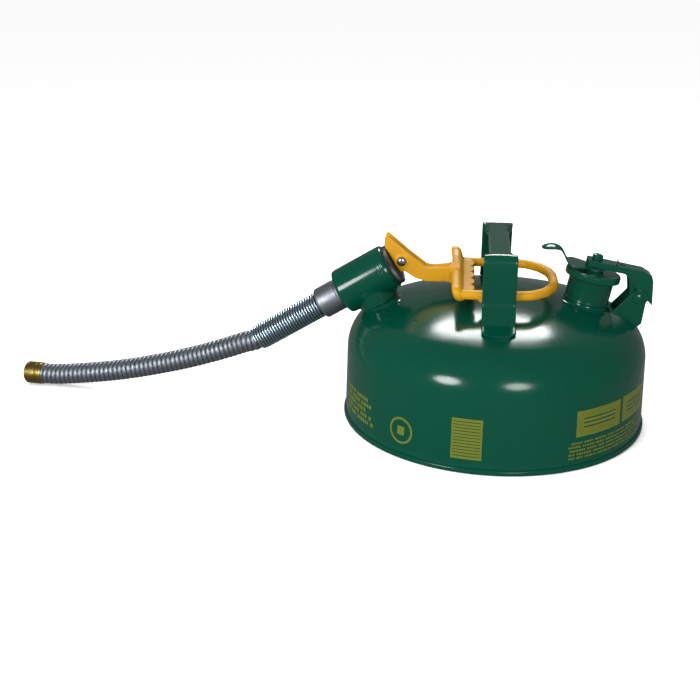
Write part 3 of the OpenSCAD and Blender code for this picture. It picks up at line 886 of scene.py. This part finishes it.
@dataclass
class CarryHandle:
    """A steel strap bent over the dome, with its edges rolled under at the grip."""

    body: SteelBody
    width: float = 27.0
    thick: float = 2.5
    top: float = 172.0
    leg_y: float = 66.0         # inner face of each leg
    crease_z: float = 126.0
    knee_y: float = 83.0        # where the foot meets the dome
    end_y: float = 99.0
    bend_r: float = 7.8         # middle of the strap, at the two top bends
    roll_from: float = 65.0     # the edges start to roll under on the bends
    roll_over: float = 27.0
    roll_r: float = 3.2
    lip: float = 3.4
    clip: float = 5.0           # cut corners of the feet

    def path(self) -> list[Vector]:
        """Middle line of the strap from the front foot to the back one.

        Returns:
            Points in the YZ plane, evenly close.
        """
        half = self.thick / 2
        side = [
            (self.end_y, self.body.top_at(self.end_y) + half),
            (self.knee_y + 0.4, self.body.top_at(self.knee_y) + half + 0.3),
            (self.leg_y + half, self.crease_z + 0.5),
            (self.leg_y + half, self.top - half),
            (0.0, self.top - half),
        ]
        corners = [(-y, z) for y, z in side] + [(y, z) for y, z in reversed(side[:-1])]
        rough = soften(corners, self.bend_r, closed=False, steps=12)
        fine: list[Vector] = [rough[0]]
        for here, there in zip(rough, rough[1:]):
            count = max(1, math.ceil((there - here).length / 1.5))
            fine += [here.lerp(there, (k + 1) / count) for k in range(count)]
        return fine

    def section(self, roll: float, half_width: float) -> list[Vector]:
        """The strap's section, flat or with its edges rolled under.

        Args:
            roll: How far the edges are rolled under, from 0 to 1.
            half_width: Half of the flat strap's width.

        Returns:
            Closed outline of (sideways, upwards) points.
        """
        angle = math.pi / 2 * roll
        flat = half_width - self.roll_r * math.pi / 2 - self.lip
        line: list[tuple[Vector, float]] = [(Vector((x * flat / 3, 0)), 0.0) for x in range(4)]
        for k in range(1, 7):
            turn = angle * k / 6
            if roll > 0.01:
                radius = self.roll_r * math.pi / 2 / angle
                line.append((
                    Vector((flat + radius * math.sin(turn), -radius * (1 - math.cos(turn)))), turn
                ))
            else:
                line.append((Vector((flat + self.roll_r * math.pi / 2 * k / 6, 0)), 0.0))
        end = line[-1][0]
        way = Vector((math.cos(angle), -math.sin(angle)))
        line += [(end + way * self.lip * k / 3, angle) for k in range(1, 4)]
        half = self.thick / 2
        upper = [p + Vector((math.sin(t), math.cos(t))) * half for p, t in line]
        lower = [p - Vector((math.sin(t), math.cos(t))) * half for p, t in line]
        tip, out = line[-1][0], Vector((math.sin(angle), math.cos(angle)))
        edge = [
            tip + (Matrix.Rotation(-math.radians(a), 2) @ out) * half for a in range(30, 180, 30)
        ]
        right = upper + edge + list(reversed(lower))
        left = [Vector((-p.x, p.y)) for p in reversed(right)]
        return right[1:] + left[1:]

    def build(self) -> None:
        """Make the handle."""
        path = self.path()
        rings = []
        travelled = 0.0
        whole = sum((b - a).length for a, b in zip(path, path[1:]))
        for i, here in enumerate(path):
            if i:
                travelled += (here - path[i - 1]).length
            way = (path[min(i + 1, len(path) - 1)] - path[max(i - 1, 0)]).normalized()
            out = Vector((-way.y, way.x))
            on_grip = here.y > self.top - self.bend_r
            roll = ease((self.roll_from - abs(here.x)) / self.roll_over) if on_grip else 0.0
            to_end = min(travelled, whole - travelled)
            clipped = max(0.0, self.clip - to_end)
            section = self.section(roll, self.width / 2)
            squeeze = (self.width / 2 - clipped) / (self.width / 2)
            rings.append([
                Vector((s.x * squeeze, here.x + out.x * s.y, here.y + out.y * s.y)) for s in section
            ])
        make_piece(
            "handle_strap", skin(rings), GREEN_PAINT, Body.CAN, ["carry_handle"], sharp=44
        )


# ---- pour valve ----


@dataclass
class PourValve:
    """The valve: a turned barrel on a leaning neck, its knurled bonnet and its works."""

    body: SteelBody
    origin: tuple[float, float, float] = (-145.5, 0.0, 114.5)
    tilt: float = 31.0
    barrel_r: float = 22.0
    length: float = 54.0
    neck_a: float = 27.0        # the neck's place along the barrel
    boss_r: float = 19.5
    boss_drop: float = 25.0
    neck_r: float = 18.0
    port_r: float = 11.5
    bonnet_r: float = 19.5      # before its edge is knurled
    bonnet_a: tuple[float, float] = (55.0, 58.8)
    knurls: int = 72

    @property
    def place(self) -> Matrix:
        """The valve's own frame: X along the stem, Z up."""
        return Matrix.Translation(self.origin) @ Matrix.Rotation(math.radians(-self.tilt), 4, "Y")

    @property
    def axis(self) -> Matrix:
        """The frame of a lathe that turns about the stem."""
        return self.place @ LYING

    @property
    def neck(self) -> Matrix:
        """The neck's frame, with Z up out of the can."""
        return self.place @ Matrix.Translation((self.neck_a, 0, 0))

    def point(self, along: float, up: float = 0.0) -> Vector:
        """A point of the valve's frame, in the can's frame."""
        return self.place @ Vector((along, 0, up))

    def build_barrel(self) -> None:
        """Make the barrel with its bead lines, and the boss below it."""
        r, end = self.barrel_r, self.length
        outline = [
            (self.port_r, 0.4), (14.6, 0.4), (15.0, 0.0), (r - 2.4, 0.0), (r - 0.5, 1.0), (r, 3.2),
            (r, end - 9.9), (r - 0.25, end - 9.4), (r - 0.25, end - 8.6), (r, end - 8.1),
            (r, end - 6.7), (r - 0.25, end - 6.2), (r - 0.25, end - 5.4), (r, end - 4.9),
            (r - 0.05, end - 3.6), (r - 0.7, end - 1.5), (r - 2.0, end - 0.3), (r - 3.2, end),
            (17.2, end), (17.2, end - 8), (16.9, 20.0), (7.0, 18.0), (7.0, 14.0),
            (self.port_r, 13.0),
        ]
        make_piece(
            "valve_barrel", lathe(soften(outline, 0.5, steps=3), 160), GREEN_PAINT, Body.CAN,
            ["valve_body"], self.axis,
        )
        low = self.boss_drop
        boss = [
            (15.6, -9.5), (self.boss_r - 0.8, -9.5), (self.boss_r, -13), (self.boss_r, 1.0 - low),
            (self.boss_r - 0.7, -low - 0.4), (self.neck_r, -low - 1.4),
            (self.neck_r, -44), (15.6, -44),
        ]
        make_piece(
            "neck_pipe", lathe(soften(boss, 1.8), 128), GREEN_PAINT, Body.CAN, ["pour_neck"],
            self.neck,
        )
        down = self.neck @ Matrix.Rotation(math.pi, 4, "X")
        inverse = self.place.inverted()

        def off_barrel(point: Vector) -> float:
            """How far a point is outside the barrel."""
            local = inverse @ point
            return math.hypot(local.y, local.z) - self.barrel_r

        saddle = weld_ring(down, self.boss_r, off_barrel, 2.2, 0.0, 30.0)
        make_piece("neck_saddle", saddle, GREEN_PAINT, Body.CAN)
        fillet = weld_ring(self.neck, self.neck_r, self.body.outside, 4.5, -48.0, -4.0)
        make_piece("neck_fillet", fillet, GREEN_PAINT, Body.CAN)

    def build_bonnet(self) -> None:
        """Make the knurled bonnet and dress the gasket under it."""
        near, far = self.bonnet_a
        r, steps = self.bonnet_r, self.knurls * 4
        bore, seat = 4.4, 17.0

        def ring(height: float, radius: float, bite: float = 0.0) -> list[Vector]:
            """Points round the bonnet, with teeth as deep as the bite makes them."""
            points = []
            for k in range(steps):
                angle = 2 * math.pi * k / steps
                tooth = abs((k / 4 % 1) * 2 - 1)
                reach = radius + 0.2 * bite - 0.55 * bite * tooth
                points.append(Vector((reach * math.cos(angle), reach * math.sin(angle), height)))
            return points

        rings = [
            ring(near, seat), ring(near + 0.01, r - 0.9), ring(near + 0.5, r - 0.3, 0.6),
            *(ring(near + rise, r - 0.2, 1.0) for rise in (1.2, 1.9, 2.6)),
            ring(far - 0.6, r - 0.3, 0.8), ring(far, r - 0.9), ring(far, seat + 0.4),
            ring(far - 0.7, seat - 0.1), ring(far - 0.7, 10.0), ring(far - 0.6, bore),
            ring(near, bore),
        ]
        make_piece(
            "bonnet_flange", skin(rings, looped=True), BLACKENED_STEEL, Body.CAN, ["valve_bonnet"],
            self.axis, sharp=32,
        )
        dress_node("bonnet_gasket", RUBBER, 0.2)

    def build_works(self) -> None:
        """Dress the parts inside the valve."""
        for name, finish in (
            ("valve_seat", BRASS), ("stem_seal", RUBBER), ("valve_stem", PIN_STEEL),
            ("valve_disc", BRASS), ("disc_gasket", RUBBER), ("stem_nut", BRASS),
            ("valve_spring", SPRING_WIRE), ("pour_screen", ARRESTER_SHEET),
        ):
            dress_node(name, finish, 0.25 if name in ("valve_stem", "stem_nut") else 0.0)

    def build(self) -> None:
        """Make the valve."""
        self.build_barrel()
        self.build_bonnet()
        self.build_works()


@dataclass
class TriggerLever:
    """The cast lever: a forked head, a finned finger plate and an open loop."""

    valve: PourValve
    head_w: float = 16.0
    cheek: float = 3.0
    pin_a: float = 66.0         # the pin's place along the stem
    boss_r: float = 6.2         # the round boss that the pin's head sits on
    boss_out: float = 0.7
    loop_half: float = 56.0
    loop_z: float = 133.0
    bar: float = 4.3            # half the thickness of the loop's bar
    plate_half: float = 53.0
    plate_z: tuple[float, float] = (130.2, 136.0)
    teeth: int = 5
    tooth_reach: float = 5.4
    fin_x: float = -36.5
    fin_half: float = 4.8
    fin_lean: float = 0.30      # sideways shift for each millimetre of height
    fin_z: float = 136.0        # height at which the fin's middle is at fin_x
    voxel: float = 0.7

    def head(self) -> Mesh:
        """The head and its arm: two cheeks, a nose and a web let in between, and a boss."""
        v = self.valve

        def at(along: float, up: float) -> tuple[float, float]:
            """A point of the valve's frame, as X and Z."""
            spot = v.point(along, up)
            return spot.x, spot.z

        pin = at(self.pin_a, 0)
        knuckle = [tuple(q) for q in arc(pin[0], pin[1], 10, 288, 262, 5)]
        outline = [
            at(59.2, 21), (-105.2, 169), *[tuple(q) for q in arc(-103, 170.4, 2.2, 190, 50, 5)],
            (-84, 157.4), (-66, 143.8), (-60, 143), (-42, 145), (-42, 130), (-66, 130),
            (-76, 132.8), (-84, 137.8), *knuckle, at(59.2, -4),
        ]
        nose = [at(60.5, 19), (-103.4, 167.6), (-101.6, 169.0), (-92.0, 161.0), at(60.5, 12)]
        web = [
            (-75, 148.2), (-66.4, 141.8), (-60, 141.0), (-40, 142.5), (-40, 131.5), (-64, 131.5),
            (-66, 134),
        ]
        block = soften([(-46, 129.5), (-34, 129.5), (-34, 145.5), (-46, 145)], 2)
        boss = arc(pin[0], pin[1], self.boss_r, 0, 350, 35)
        half = self.head_w / 2
        inner, outer = half - 1, half + self.boss_out
        shape = soften(outline, 1.2)
        return joined(
            slab(shape, half - self.cheek, half, ACROSS),
            slab(shape, -half, self.cheek - half, ACROSS),
            slab(nose, -inner, inner, ACROSS),
            slab(web, -inner, inner, ACROSS),
            slab(block, -9.2, 9.2, ACROSS),
            slab(boss, -outer, outer, ACROSS),
        )

    def grip(self) -> Mesh:
        """The fin, the scalloped plate, the loop and its lug."""
        # the fin leans towards the valve: a rounded foot in front, an ear at the back
        fin = [
            *arc(-54.2, 133.6, 7.0, 95, 265, 16), *arc(55.6, 132.2, 5.6, -85, 0, 8),
            *arc(53.2, 141.0, 8.0, 5, 130, 12), (36, 144.4), (0, 143.2), (-30, 142.4),
        ]
        lean = Matrix.Translation((self.fin_x + self.fin_lean * self.fin_z, 0, 0)) @ ALONG
        lean[0][1] = -self.fin_lean
        blade = worked(
            slab(fin, -self.fin_half, self.fin_half, lean),
            [("BEVEL", {"width": 4.0, "segments": 5, "limit_method": "ANGLE",
                        "angle_limit": math.radians(40)})],
        )
        end, back, front = self.plate_half, -38.0, -26.4
        plate = [(back, end), (back, -end)]
        pitch = 2 * end / self.teeth
        for i in range(self.teeth * 12 + 1):
            y = -end + pitch * i / 12
            across = ((y + end) % pitch) / pitch * 2 - 1
            plate.append((front + self.tooth_reach * math.sqrt(max(0.0, 1 - across * across)), y))
        corners = [
            (-36, 56), (16, 56), (30, 52.4), (41, 42), (48.6, 26), (51, 12), (51, -12),
            (48.6, -26), (41, -42), (30, -52.4), (16, -56), (-36, -56),
        ]
        path = soften([(x, y, self.loop_z) for x, y in corners], 16, closed=False, steps=8)
        square = 0.78           # 1 would be a round bar, and less is squarer

        def side(value: float) -> float:
            """One coordinate of the bar's section, from a sine or a cosine."""
            return self.bar * math.copysign(abs(value) ** square, value)

        angles = [math.radians(22.5 * k) for k in range(16)]
        section = [(side(math.cos(a)), side(math.sin(a))) for a in angles]
        lug = soften([(-16.5, 126.6), (-8.5, 126.6), (-6.5, 131), (-18.5, 131)], 2)
        return joined(
            blade,
            slab(plate, *self.plate_z),
            tube(path, section, Vector((0, 0, 1))),
            slab(lug, self.loop_half - 4.2, self.loop_half + 4.2, ACROSS),
        )

    def build(self) -> None:
        """Make the lever, its pin and its clip."""
        casting = cast(joined(self.head(), self.grip()), self.voxel, 5)
        make_piece(
            "lever_casting", casting, YELLOW_PAINT, Body.TRIGGER, ["trigger_lever"], sharp=180
        )
        pin = self.valve.point(self.pin_a)
        half = self.head_w / 2
        rivet = [
            (0, -half - 1.4), (2.5, -half - 1.4), (2.5, half), (4.4, half), (4.4, half + 1.2),
            (4.0, half + 2.0), (3.0, half + 2.7), (1.6, half + 3.1), (0, half + 3.2),
        ]
        place = Matrix.Translation(pin) @ FACING
        make_piece("lever_rivet", lathe(rivet, 48), PIN_STEEL, Body.TRIGGER, ["trigger_pin"], place)
        dress_node("pin_clip", SPRING_WIRE, 0.2)


# ---- fill opening ----


@dataclass
class FillOpening:
    """The fill neck with its arrester basket, and the sprung cap over it."""

    body: SteelBody
    origin: tuple[float, float, float] = (86.3, 0.0, 137.1)
    lean: float = 10.5
    neck_r: float = 20.3
    bore_r: float = 19.0
    lip_r: float = 23.0
    cap_r: float = 25.2
    hinge: tuple[float, float] = (43.5, -8.3)
    hinge_r: float = 3.0
    ear_out: float = 12.0

    @property
    def place(self) -> Matrix:
        """The opening's own frame, with Z along the neck."""
        return Matrix.Translation(self.origin) @ Matrix.Rotation(math.radians(self.lean), 4, "Y")

    def build_neck(self) -> None:
        """Make the neck and the fillet round its foot."""
        r, bore = self.neck_r, self.bore_r
        outline = [
            (bore, -34), (r, -34), (r, -23), (r + 0.8, -22.4), (r + 0.95, -21.4), (r + 0.8, -20.4),
            (r, -19.8), (r, -1.6), (r + 0.6, -0.4), (self.lip_r - 0.5, 0.5), (self.lip_r, 1.0),
            (self.lip_r, 2.1), (self.lip_r - 0.4, 2.5), (bore, 2.5),
        ]
        make_piece(
            "fill_pipe", lathe(soften(outline, 0.5), 144), GREEN_PAINT, Body.CAN, ["fill_neck"],
            self.place,
        )
        fillet = weld_ring(self.place, r, self.body.outside, 4.0, -45.0, -4.0)
        make_piece("fill_fillet", fillet, GREEN_PAINT, Body.CAN)
        dress_node("fill_screen", ARRESTER_SHEET)

    def build_cap(self) -> None:
        """Make the cap, its rivet and its seal."""
        r = self.cap_r
        cover = [
            (3.0, 5.0), (r - 1.3, 5.0), (r - 1.3, 0.1), (r, 0.1), (r, 4.6), (r - 0.5, 5.8),
            (r - 1.6, 6.2), (r - 3.2, 6.0), (r - 5.0, 5.5), (10.0, 5.5), (8.4, 7.2), (7.6, 7.4),
            (3.0, 7.4),
        ]
        make_piece(
            "cap_cover", lathe(soften(cover, 0.7), 144), GREEN_PAINT, Body.CAP,
            ["cap_disc", "cap_rim"], self.place,
        )
        head = [
            (0, 3.7), (4.1, 3.7), (4.1, 4.9), (3.0, 4.9), (3.0, 16.9), (4.9, 16.9), (4.9, 20.6),
            (4.4, 21.6), (3.2, 22.1), (1.6, 22.2), (0, 22.2),
        ]
        make_piece(
            "cap_stud", lathe(soften(head, 0.35, closed=False), 48), GREEN_PAINT, Body.CAP,
            ["cap_rivet"], self.place,
        )
        dress_node("cap_gasket", RUBBER, 0.2)
        dress_node("cap_washer", CAST_ZINC, 0.3)
        dress_node("relief_spring", SPRING_WIRE)
        make_piece(
            "thumb_lever", self.tab(), GREEN_PAINT, Body.CAP, ["thumb_tab"], self.place, sharp=50
        )
        dress_node("cap_arm", GREEN_PAINT, 0.7)

    def tab(self) -> Mesh:
        """The thumb tab: a plate under the arm that narrows, rises and ends in a spoon."""
        # along, up, half width, droop of the edges
        stations = [
            (8.0, 9.8, 8.5, 0.0), (4.0, 9.8, 9.5, 0.0), (-6.0, 9.8, 11.5, 0.0),
            (-14.0, 9.8, 16.0, 0.0), (-18.0, 9.8, 17.4, 0.0), (-22.0, 9.8, 16.6, 0.0),
            (-24.6, 10.1, 13.0, 0.0), (-26.4, 11.3, 9.0, 0.0), (-28.2, 13.4, 6.6, 0.1),
            (-30.2, 16.2, 5.6, 0.2), (-32.2, 18.8, 5.6, 0.3), (-34.4, 20.8, 6.4, 0.7),
            (-37.0, 22.0, 7.8, 1.3), (-40.0, 22.5, 8.9, 1.9), (-43.5, 22.2, 9.2, 2.2),
            (-46.5, 21.2, 8.5, 2.1), (-49.0, 19.8, 6.7, 1.4), (-50.6, 18.5, 4.4, 0.7),
            (-51.4, 17.7, 1.9, 0.2),
        ]
        half, shares = 0.8, [k / 5 for k in range(-5, 6)]     # half the sheet's thickness
        rings = []
        for i, (along, up, wide, droop) in enumerate(stations):
            back, on = stations[max(i - 1, 0)], stations[min(i + 1, len(stations) - 1)]
            way = Vector((on[0] - back[0], on[1] - back[1])).normalized()
            rise = Vector((way.y, -way.x)) if way.x < 0 else Vector((-way.y, way.x))
            if rise.y < 0:
                rise.negate()
            upper = [
                Vector((along + rise.x * half, t * wide, up + rise.y * half - droop * t * t))
                for t in shares
            ]
            lower = [
                Vector((along - rise.x * half, t * wide, up - rise.y * half - droop * t * t))
                for t in reversed(shares)
            ]
            rings.append(upper + lower)
        return worked(
            skin(rings),
            [("BEVEL", {"width": 0.35, "segments": 2, "limit_method": "ANGLE",
                        "angle_limit": math.radians(50)})],
        )

    def build_hinge(self) -> None:
        """Make the hinge pin with its domed heads, and dress the bracket."""
        outer = self.ear_out
        spot = self.place @ Vector((self.hinge[0], 0, self.hinge[1]))
        dome = [
            (self.hinge_r, outer + 0.2), (4.6, outer + 0.2), (4.6, outer + 0.9),
            (4.0, outer + 1.6), (2.4, outer + 2.0), (0, outer + 2.1),
        ]
        pin = [(0, -dome[-1][1])] + [(r, -h) for r, h in reversed(dome[:-1])] + dome
        make_piece(
            "hinge_rivet", lathe(soften(pin, 0.4, closed=False), 48), GREEN_PAINT, Body.CAN,
            ["hinge_pin"], Matrix.Translation(spot) @ FACING,
        )
        dress_node("hinge_bracket", GREEN_PAINT, 0.5)
        dress_node("cap_spring", SPRING_WIRE)

    def build(self) -> None:
        """Make the fill opening."""
        self.build_neck()
        self.build_cap()
        self.build_hinge()


# ---- hose ----


@dataclass
class FlexibleHose:
    """The interlocked metal hose, with its nut, its guard spring and its nozzle."""

    valve: PourValve
    radius: float = 10.4
    pitch: float = 4.9          # seam to seam
    groove: float = 1.5         # depth of a seam
    start: float = 14.0         # the hose begins this far inside the nut
    nut_len: float = 24.0
    nut_r: float = 15.2
    guard_len: float = 74.0
    guard_r: float = 12.7
    wire_r: float = 1.15
    wire_pitch: float = 2.9
    nozzle_r: float = 11.2
    nozzle_len: float = 19.0
    nozzle_yaw: float = 5.0
    # the droop from the end of the guard to the nozzle
    fall: tuple[tuple[float, float, float], ...] = (
        (-243, 0.5, 59.6), (-260, 2, 53), (-285, 4, 44.2), (-310, 5.5, 36.6),
        (-336, 7, 29.8), (-362, 8.5, 23.8), (-388, 10.2, 19), (-414, 12, 15.2),
        (-438, 14, 12.2), (-450, 15.1, 11.4), (-458, 15.8, 11.4),
    )

    def route(self, step: float) -> list[Vector]:
        """The hose's middle line.

        Args:
            step: Distance between points, in millimetres.

        Returns:
            Evenly spaced points from inside the nut to the nozzle.
        """
        straight = [
            self.start, *(self.nut_len + self.guard_len * share for share in (1 / 3, 2 / 3, 1))
        ]
        knots = [self.valve.point(-a) for a in straight] + [Vector(p) for p in self.fall]
        dense: list[Vector] = []
        for i in range(len(knots) - 1):
            p0, p1 = knots[max(i - 1, 0)], knots[i]
            p2, p3 = knots[i + 1], knots[min(i + 2, len(knots) - 1)]
            for k in range(40):
                t = k / 40
                dense.append(0.5 * (
                    2 * p1 + (p2 - p0) * t + (2 * p0 - 5 * p1 + 4 * p2 - p3) * t * t
                    + (3 * p1 - p0 - 3 * p2 + p3) * t**3
                ))
        dense.append(knots[-1])
        lengths = [0.0]
        for a, b in zip(dense, dense[1:]):
            lengths.append(lengths[-1] + (b - a).length)
        count = round(lengths[-1] / step)
        even, i = [], 0
        for k in range(count + 1):
            goal = lengths[-1] * k / count
            while i < len(dense) - 2 and lengths[i + 1] < goal:
                i += 1
            span = lengths[i + 1] - lengths[i]
            even.append(dense[i].lerp(dense[i + 1], (goal - lengths[i]) / span))
        return even

    def build_hose(self) -> Piece:
        """Make the hose as a wound strip: rounded bands with a seam between turns."""
        step, sides = 0.42, 44
        crown, shoulder, slant = 3.2, 0.6, 0.25     # how square a band is, and how it tilts
        clearing = 1.25                             # how fast the seam's shade clears
        route = self.route(step)
        rings, seam_shade = [], []
        for i, here in enumerate(route):
            way = (route[min(i + 1, len(route) - 1)] - route[max(i - 1, 0)]).normalized()
            side = Vector((0, 0, 1)).cross(way).normalized()
            rise = way.cross(side)
            ring = []
            for k in range(sides):
                angle = 2 * math.pi * k / sides
                phase = (i * step / self.pitch + k / sides) % 1
                band = max(0.0, 1 - abs(2 * phase - 1) ** crown) ** shoulder
                slope = slant * (phase - 0.5)
                # painted shade: darkest at the bottom of each seam, gone by the middle of a band
                seam_shade.append(1 - ease(band * clearing))
                r = self.radius - self.groove * (1 - band) - slope
                ring.append(here + side * (r * math.cos(angle)) + rise * (r * math.sin(angle)))
            rings.append(ring)
        hose = make_piece("metal_hose", skin(rings), HOSE_STRIP, Body.CAN, ["hose"], sharp=60)
        # the seams' painted shade is stored as the groove attribute, which the finish reads
        groove = hose.data.attributes.new("groove", "FLOAT", "POINT")
        groove.data.foreach_set("value", [min(1.0, d) for d in seam_shade])
        return hose

    def build_guard(self) -> Piece:
        """Make the guard spring, wound over the first stretch of the hose."""
        turns = self.guard_len / self.wire_pitch
        steps = 40
        count = int(turns * steps)
        middle = self.guard_r - self.wire_r
        place = self.valve.place
        path = []
        drawn_in, last = 0.9, 8.0       # the last turns close onto the hose
        for i in range(count + 1):
            along = self.wire_r + (self.guard_len - 2 * self.wire_r) * i / count
            taper = drawn_in * ease((along - self.guard_len + last) / last)
            angle = 2 * math.pi * i / steps
            r = middle - taper
            spot = Vector((-self.nut_len - along, r * math.cos(angle), r * math.sin(angle)))
            path.append(place @ spot)
        up = (place.to_3x3() @ Vector((1, 0, 0))).normalized()
        coil = tube(path, round_section(self.wire_r, 10), up)
        return make_piece("guard_spring", coil, SPRING_WIRE, Body.CAN, ["hose_guard"], sharp=60)

    def build_ends(self) -> list[Piece]:
        """Make the nut at the valve and the brass nozzle.

        Returns:
            The two pieces.
        """
        r, n, bore = self.nut_r, self.nut_len, self.radius + 0.25
        nut = [
            (bore, -n + 0.2), (12.9, -n), (r - 1.6, -n), (r - 0.4, -n + 0.7), (r, -n + 2.2),
            (r, -3.4), (r - 0.5, -2.8), (r - 0.5, -1.2), (r - 1.4, -0.2), (11.4, -0.1),
            (11.4, 12), (9.2, 12), (9.2, -n + 10), (bore, -n + 10),
        ]
        nut_piece = make_piece(
            "hose_coupling", lathe(soften(nut, 0.6), 96), CAST_ZINC, Body.CAN, ["hose_nut"],
            self.valve.axis,
        )
        yaw = math.radians(self.nozzle_yaw)
        way = Vector((-math.cos(yaw), math.sin(yaw), 0))
        place = Matrix.Translation(self.fall[-1]) @ way.to_track_quat("Z", "Y").to_matrix().to_4x4()
        o, length = self.nozzle_r, self.nozzle_len
        nozzle = [
            (9.0, 0.0), (o - 1.4, 0.0), (o - 0.5, 0.7), (o - 0.4, 2.4), (o, 3.0), (o, 5.6),
            (o - 0.7, 6.1), (o - 0.7, 7.0), (o, 7.5), (o, length - 4.2), (o - 0.5, length - 3.8),
            (o - 0.5, length - 3.2), (o, length - 2.8), (o - 0.05, length - 1.4),
            (o - 1.0, length - 0.2), (o - 2.2, length), (8.2, length), (7.5, length - 0.8),
            (7.5, 1.0), (9.0, 1.0),
        ]
        nozzle_piece = make_piece(
            "brass_nozzle", lathe(soften(nozzle, 0.35), 96), BRASS, Body.CAN, ["hose_nozzle"],
            place,
        )
        return [nut_piece, nozzle_piece]

    def build(self) -> None:
        """Make the hose with its fittings."""
        hose = self.build_hose()
        fittings = [self.build_guard(), *self.build_ends()]
        line = self.route(4.0)


# ---- printed marks ----


@dataclass
class PrintedMarks:
    """Plain yellow marks, screen-printed on the wall in place of labels."""

    body: SteelBody
    lift: float = 0.16          # thickness of the ink film
    buried: float = 0.3         # how far its back lies inside the wall
    rim: float = 0.16           # width of the ring, as a share of its reach
    seed: int = 7
    # kind, first and last angle in degrees, low and high edge
    marks: tuple[tuple[Mark, float, float, float, float], ...] = (
        (Mark.PANEL, -105.2, -94.4, 12.9, 49.6),
        (Mark.CARD, -61.0, -39.6, 30.5, 54.0),
        (Mark.CARD, -38.0, -19.2, 31.0, 54.5),
        (Mark.FINE_ROWS, -64.0, -15.5, 10.5, 28.0),
        (Mark.ROWS, -163.0, -139.0, 16.0, 43.0),
        (Mark.RING, -130.0, -120.0, 13.8, 38.2),
    )

    def film(
        self, corners: Callable[[float, float], tuple[float, float]], across: int, up: int
    ) -> Mesh:
        """A thin patch of ink on the wall.

        Args:
            corners: Angle and height for each share across and up the patch.
            across: Number of steps across.
            up: Number of steps up.

        Returns:
            The patch as a closed film.
        """
        def spot(share: float, rise: float, lift: float) -> Vector:
            """A point of the patch."""
            degrees, height = corners(share, rise)
            angle, r = math.radians(degrees), self.body.wall_at(height) + lift
            return Vector((r * math.cos(angle), r * math.sin(angle), height))

        rings = []
        for i in range(across + 1):
            share = i / across
            outer = [spot(share, k / up, self.lift) for k in range(up + 1)]
            inner = [spot(share, k / up, -self.buried) for k in range(up, -1, -1)]
            rings.append(outer + inner)
        return skin(rings)

    def bar(self, start: float, stop: float, low: float, high: float) -> Mesh:
        """A plain bar of ink between two angles and two heights."""
        steps = max(1, math.ceil(abs(stop - start) / 2))
        return self.film(
            lambda s, t: (start + (stop - start) * s, low + (high - low) * t), steps,
            max(1, math.ceil((high - low) / 6)),
        )

    def rows(self, kind: Mark, start: float, stop: float, low: float, high: float) -> list[Mesh]:
        """Rows of short bars of uneven length, in place of words."""
        rng = random.Random(self.seed)
        # row pitch and bar height in millimetres; bar widths and gap in degrees
        pitch, tall, shortest, longest, gap = (
            (3.4, 1.7, 0.35, 1.1, 0.3) if kind is Mark.FINE_ROWS else (5.4, 3.4, 0.7, 1.7, 0.5)
        )
        parts = []
        for i in range(int((high - low) / pitch)):
            base = low + i * pitch
            angle = start + rng.uniform(0, 1.5)
            limit = stop - rng.uniform(0, 0.3) * (stop - start)
            word = rng.randint(3, 7)
            while angle < limit:
                width = rng.uniform(shortest, longest)
                parts.append(self.bar(angle, angle + width, base, base + tall))
                word -= 1
                angle += width + gap
                if not word:
                    word = rng.randint(3, 7)
                    angle += 2 * gap
        return parts

    def panel(self, kind: Mark, start: float, stop: float, low: float, high: float) -> list[Mesh]:
        """A solid panel ruled with thin lines left bare."""
        side, bare = 0.6, 0.7
        span = high - low
        cuts = [low + span * k / 13 for k in range(1, 13)]
        if kind is Mark.CARD:
            side, bare = 3.0, 1.3
            cuts = [low + span * share for share in (0.36, 0.52, 0.68)]
        edges = [low, *cuts, high]
        strips = [
            self.bar(start + side, stop - side, a + bare / 2 * (a > low), b - bare / 2 * (b < high))
            for a, b in zip(edges, edges[1:])
        ]
        edges = [(start, start + side), (stop - side, stop)]
        return strips + [self.bar(a, b, low, high) for a, b in edges]

    def ring(self, start: float, stop: float, low: float, high: float) -> list[Mesh]:
        """A plain ring round a small block."""
        middle, level = (start + stop) / 2, (low + high) / 2
        reach = (high - low) / 2
        turn = (stop - start) / 2
        outline = self.film(
            lambda s, t: (
                middle + turn * (1 - self.rim + self.rim * t) * math.cos(2 * math.pi * s),
                level + reach * (1 - self.rim + self.rim * t) * math.sin(2 * math.pi * s),
            ), 64, 1,
        )
        return [outline, self.bar(middle - turn * 0.3, middle + turn * 0.3, level - 4, level + 4)]

    def build(self) -> None:
        """Print the marks."""
        for i, (kind, start, stop, low, high) in enumerate(self.marks):
            if kind in (Mark.ROWS, Mark.FINE_ROWS):
                parts = self.rows(kind, start, stop, low, high)
            elif kind is Mark.RING:
                parts = self.ring(start, stop, low, high)
            else:
                parts = self.panel(kind, start, stop, low, high)
            make_piece(f"ink_{kind.name.lower()}_{i}", joined(*parts), YELLOW_INK, Body.CAN)


def main() -> None:
    """Build the can, sub-assembly by sub-assembly."""
    logging.basicConfig(level=logging.INFO, format="%(name)s: %(message)s")
    studio = Studio()
    studio.build_camera()
    body = SteelBody()
    valve = PourValve(body)
    FlexibleHose(valve).build()
    fill = FillOpening(body)
    body.build([(valve.neck, valve.neck_r), (fill.place, fill.neck_r)])
    CarryHandle(body).build()
    valve.build()
    TriggerLever(valve).build()
    fill.build()
    PrintedMarks(body).build()
    studio.build_floor()
    studio.build_lights()


if __name__ == "__main__":
    main()
    bpy.context.view_layer.update()
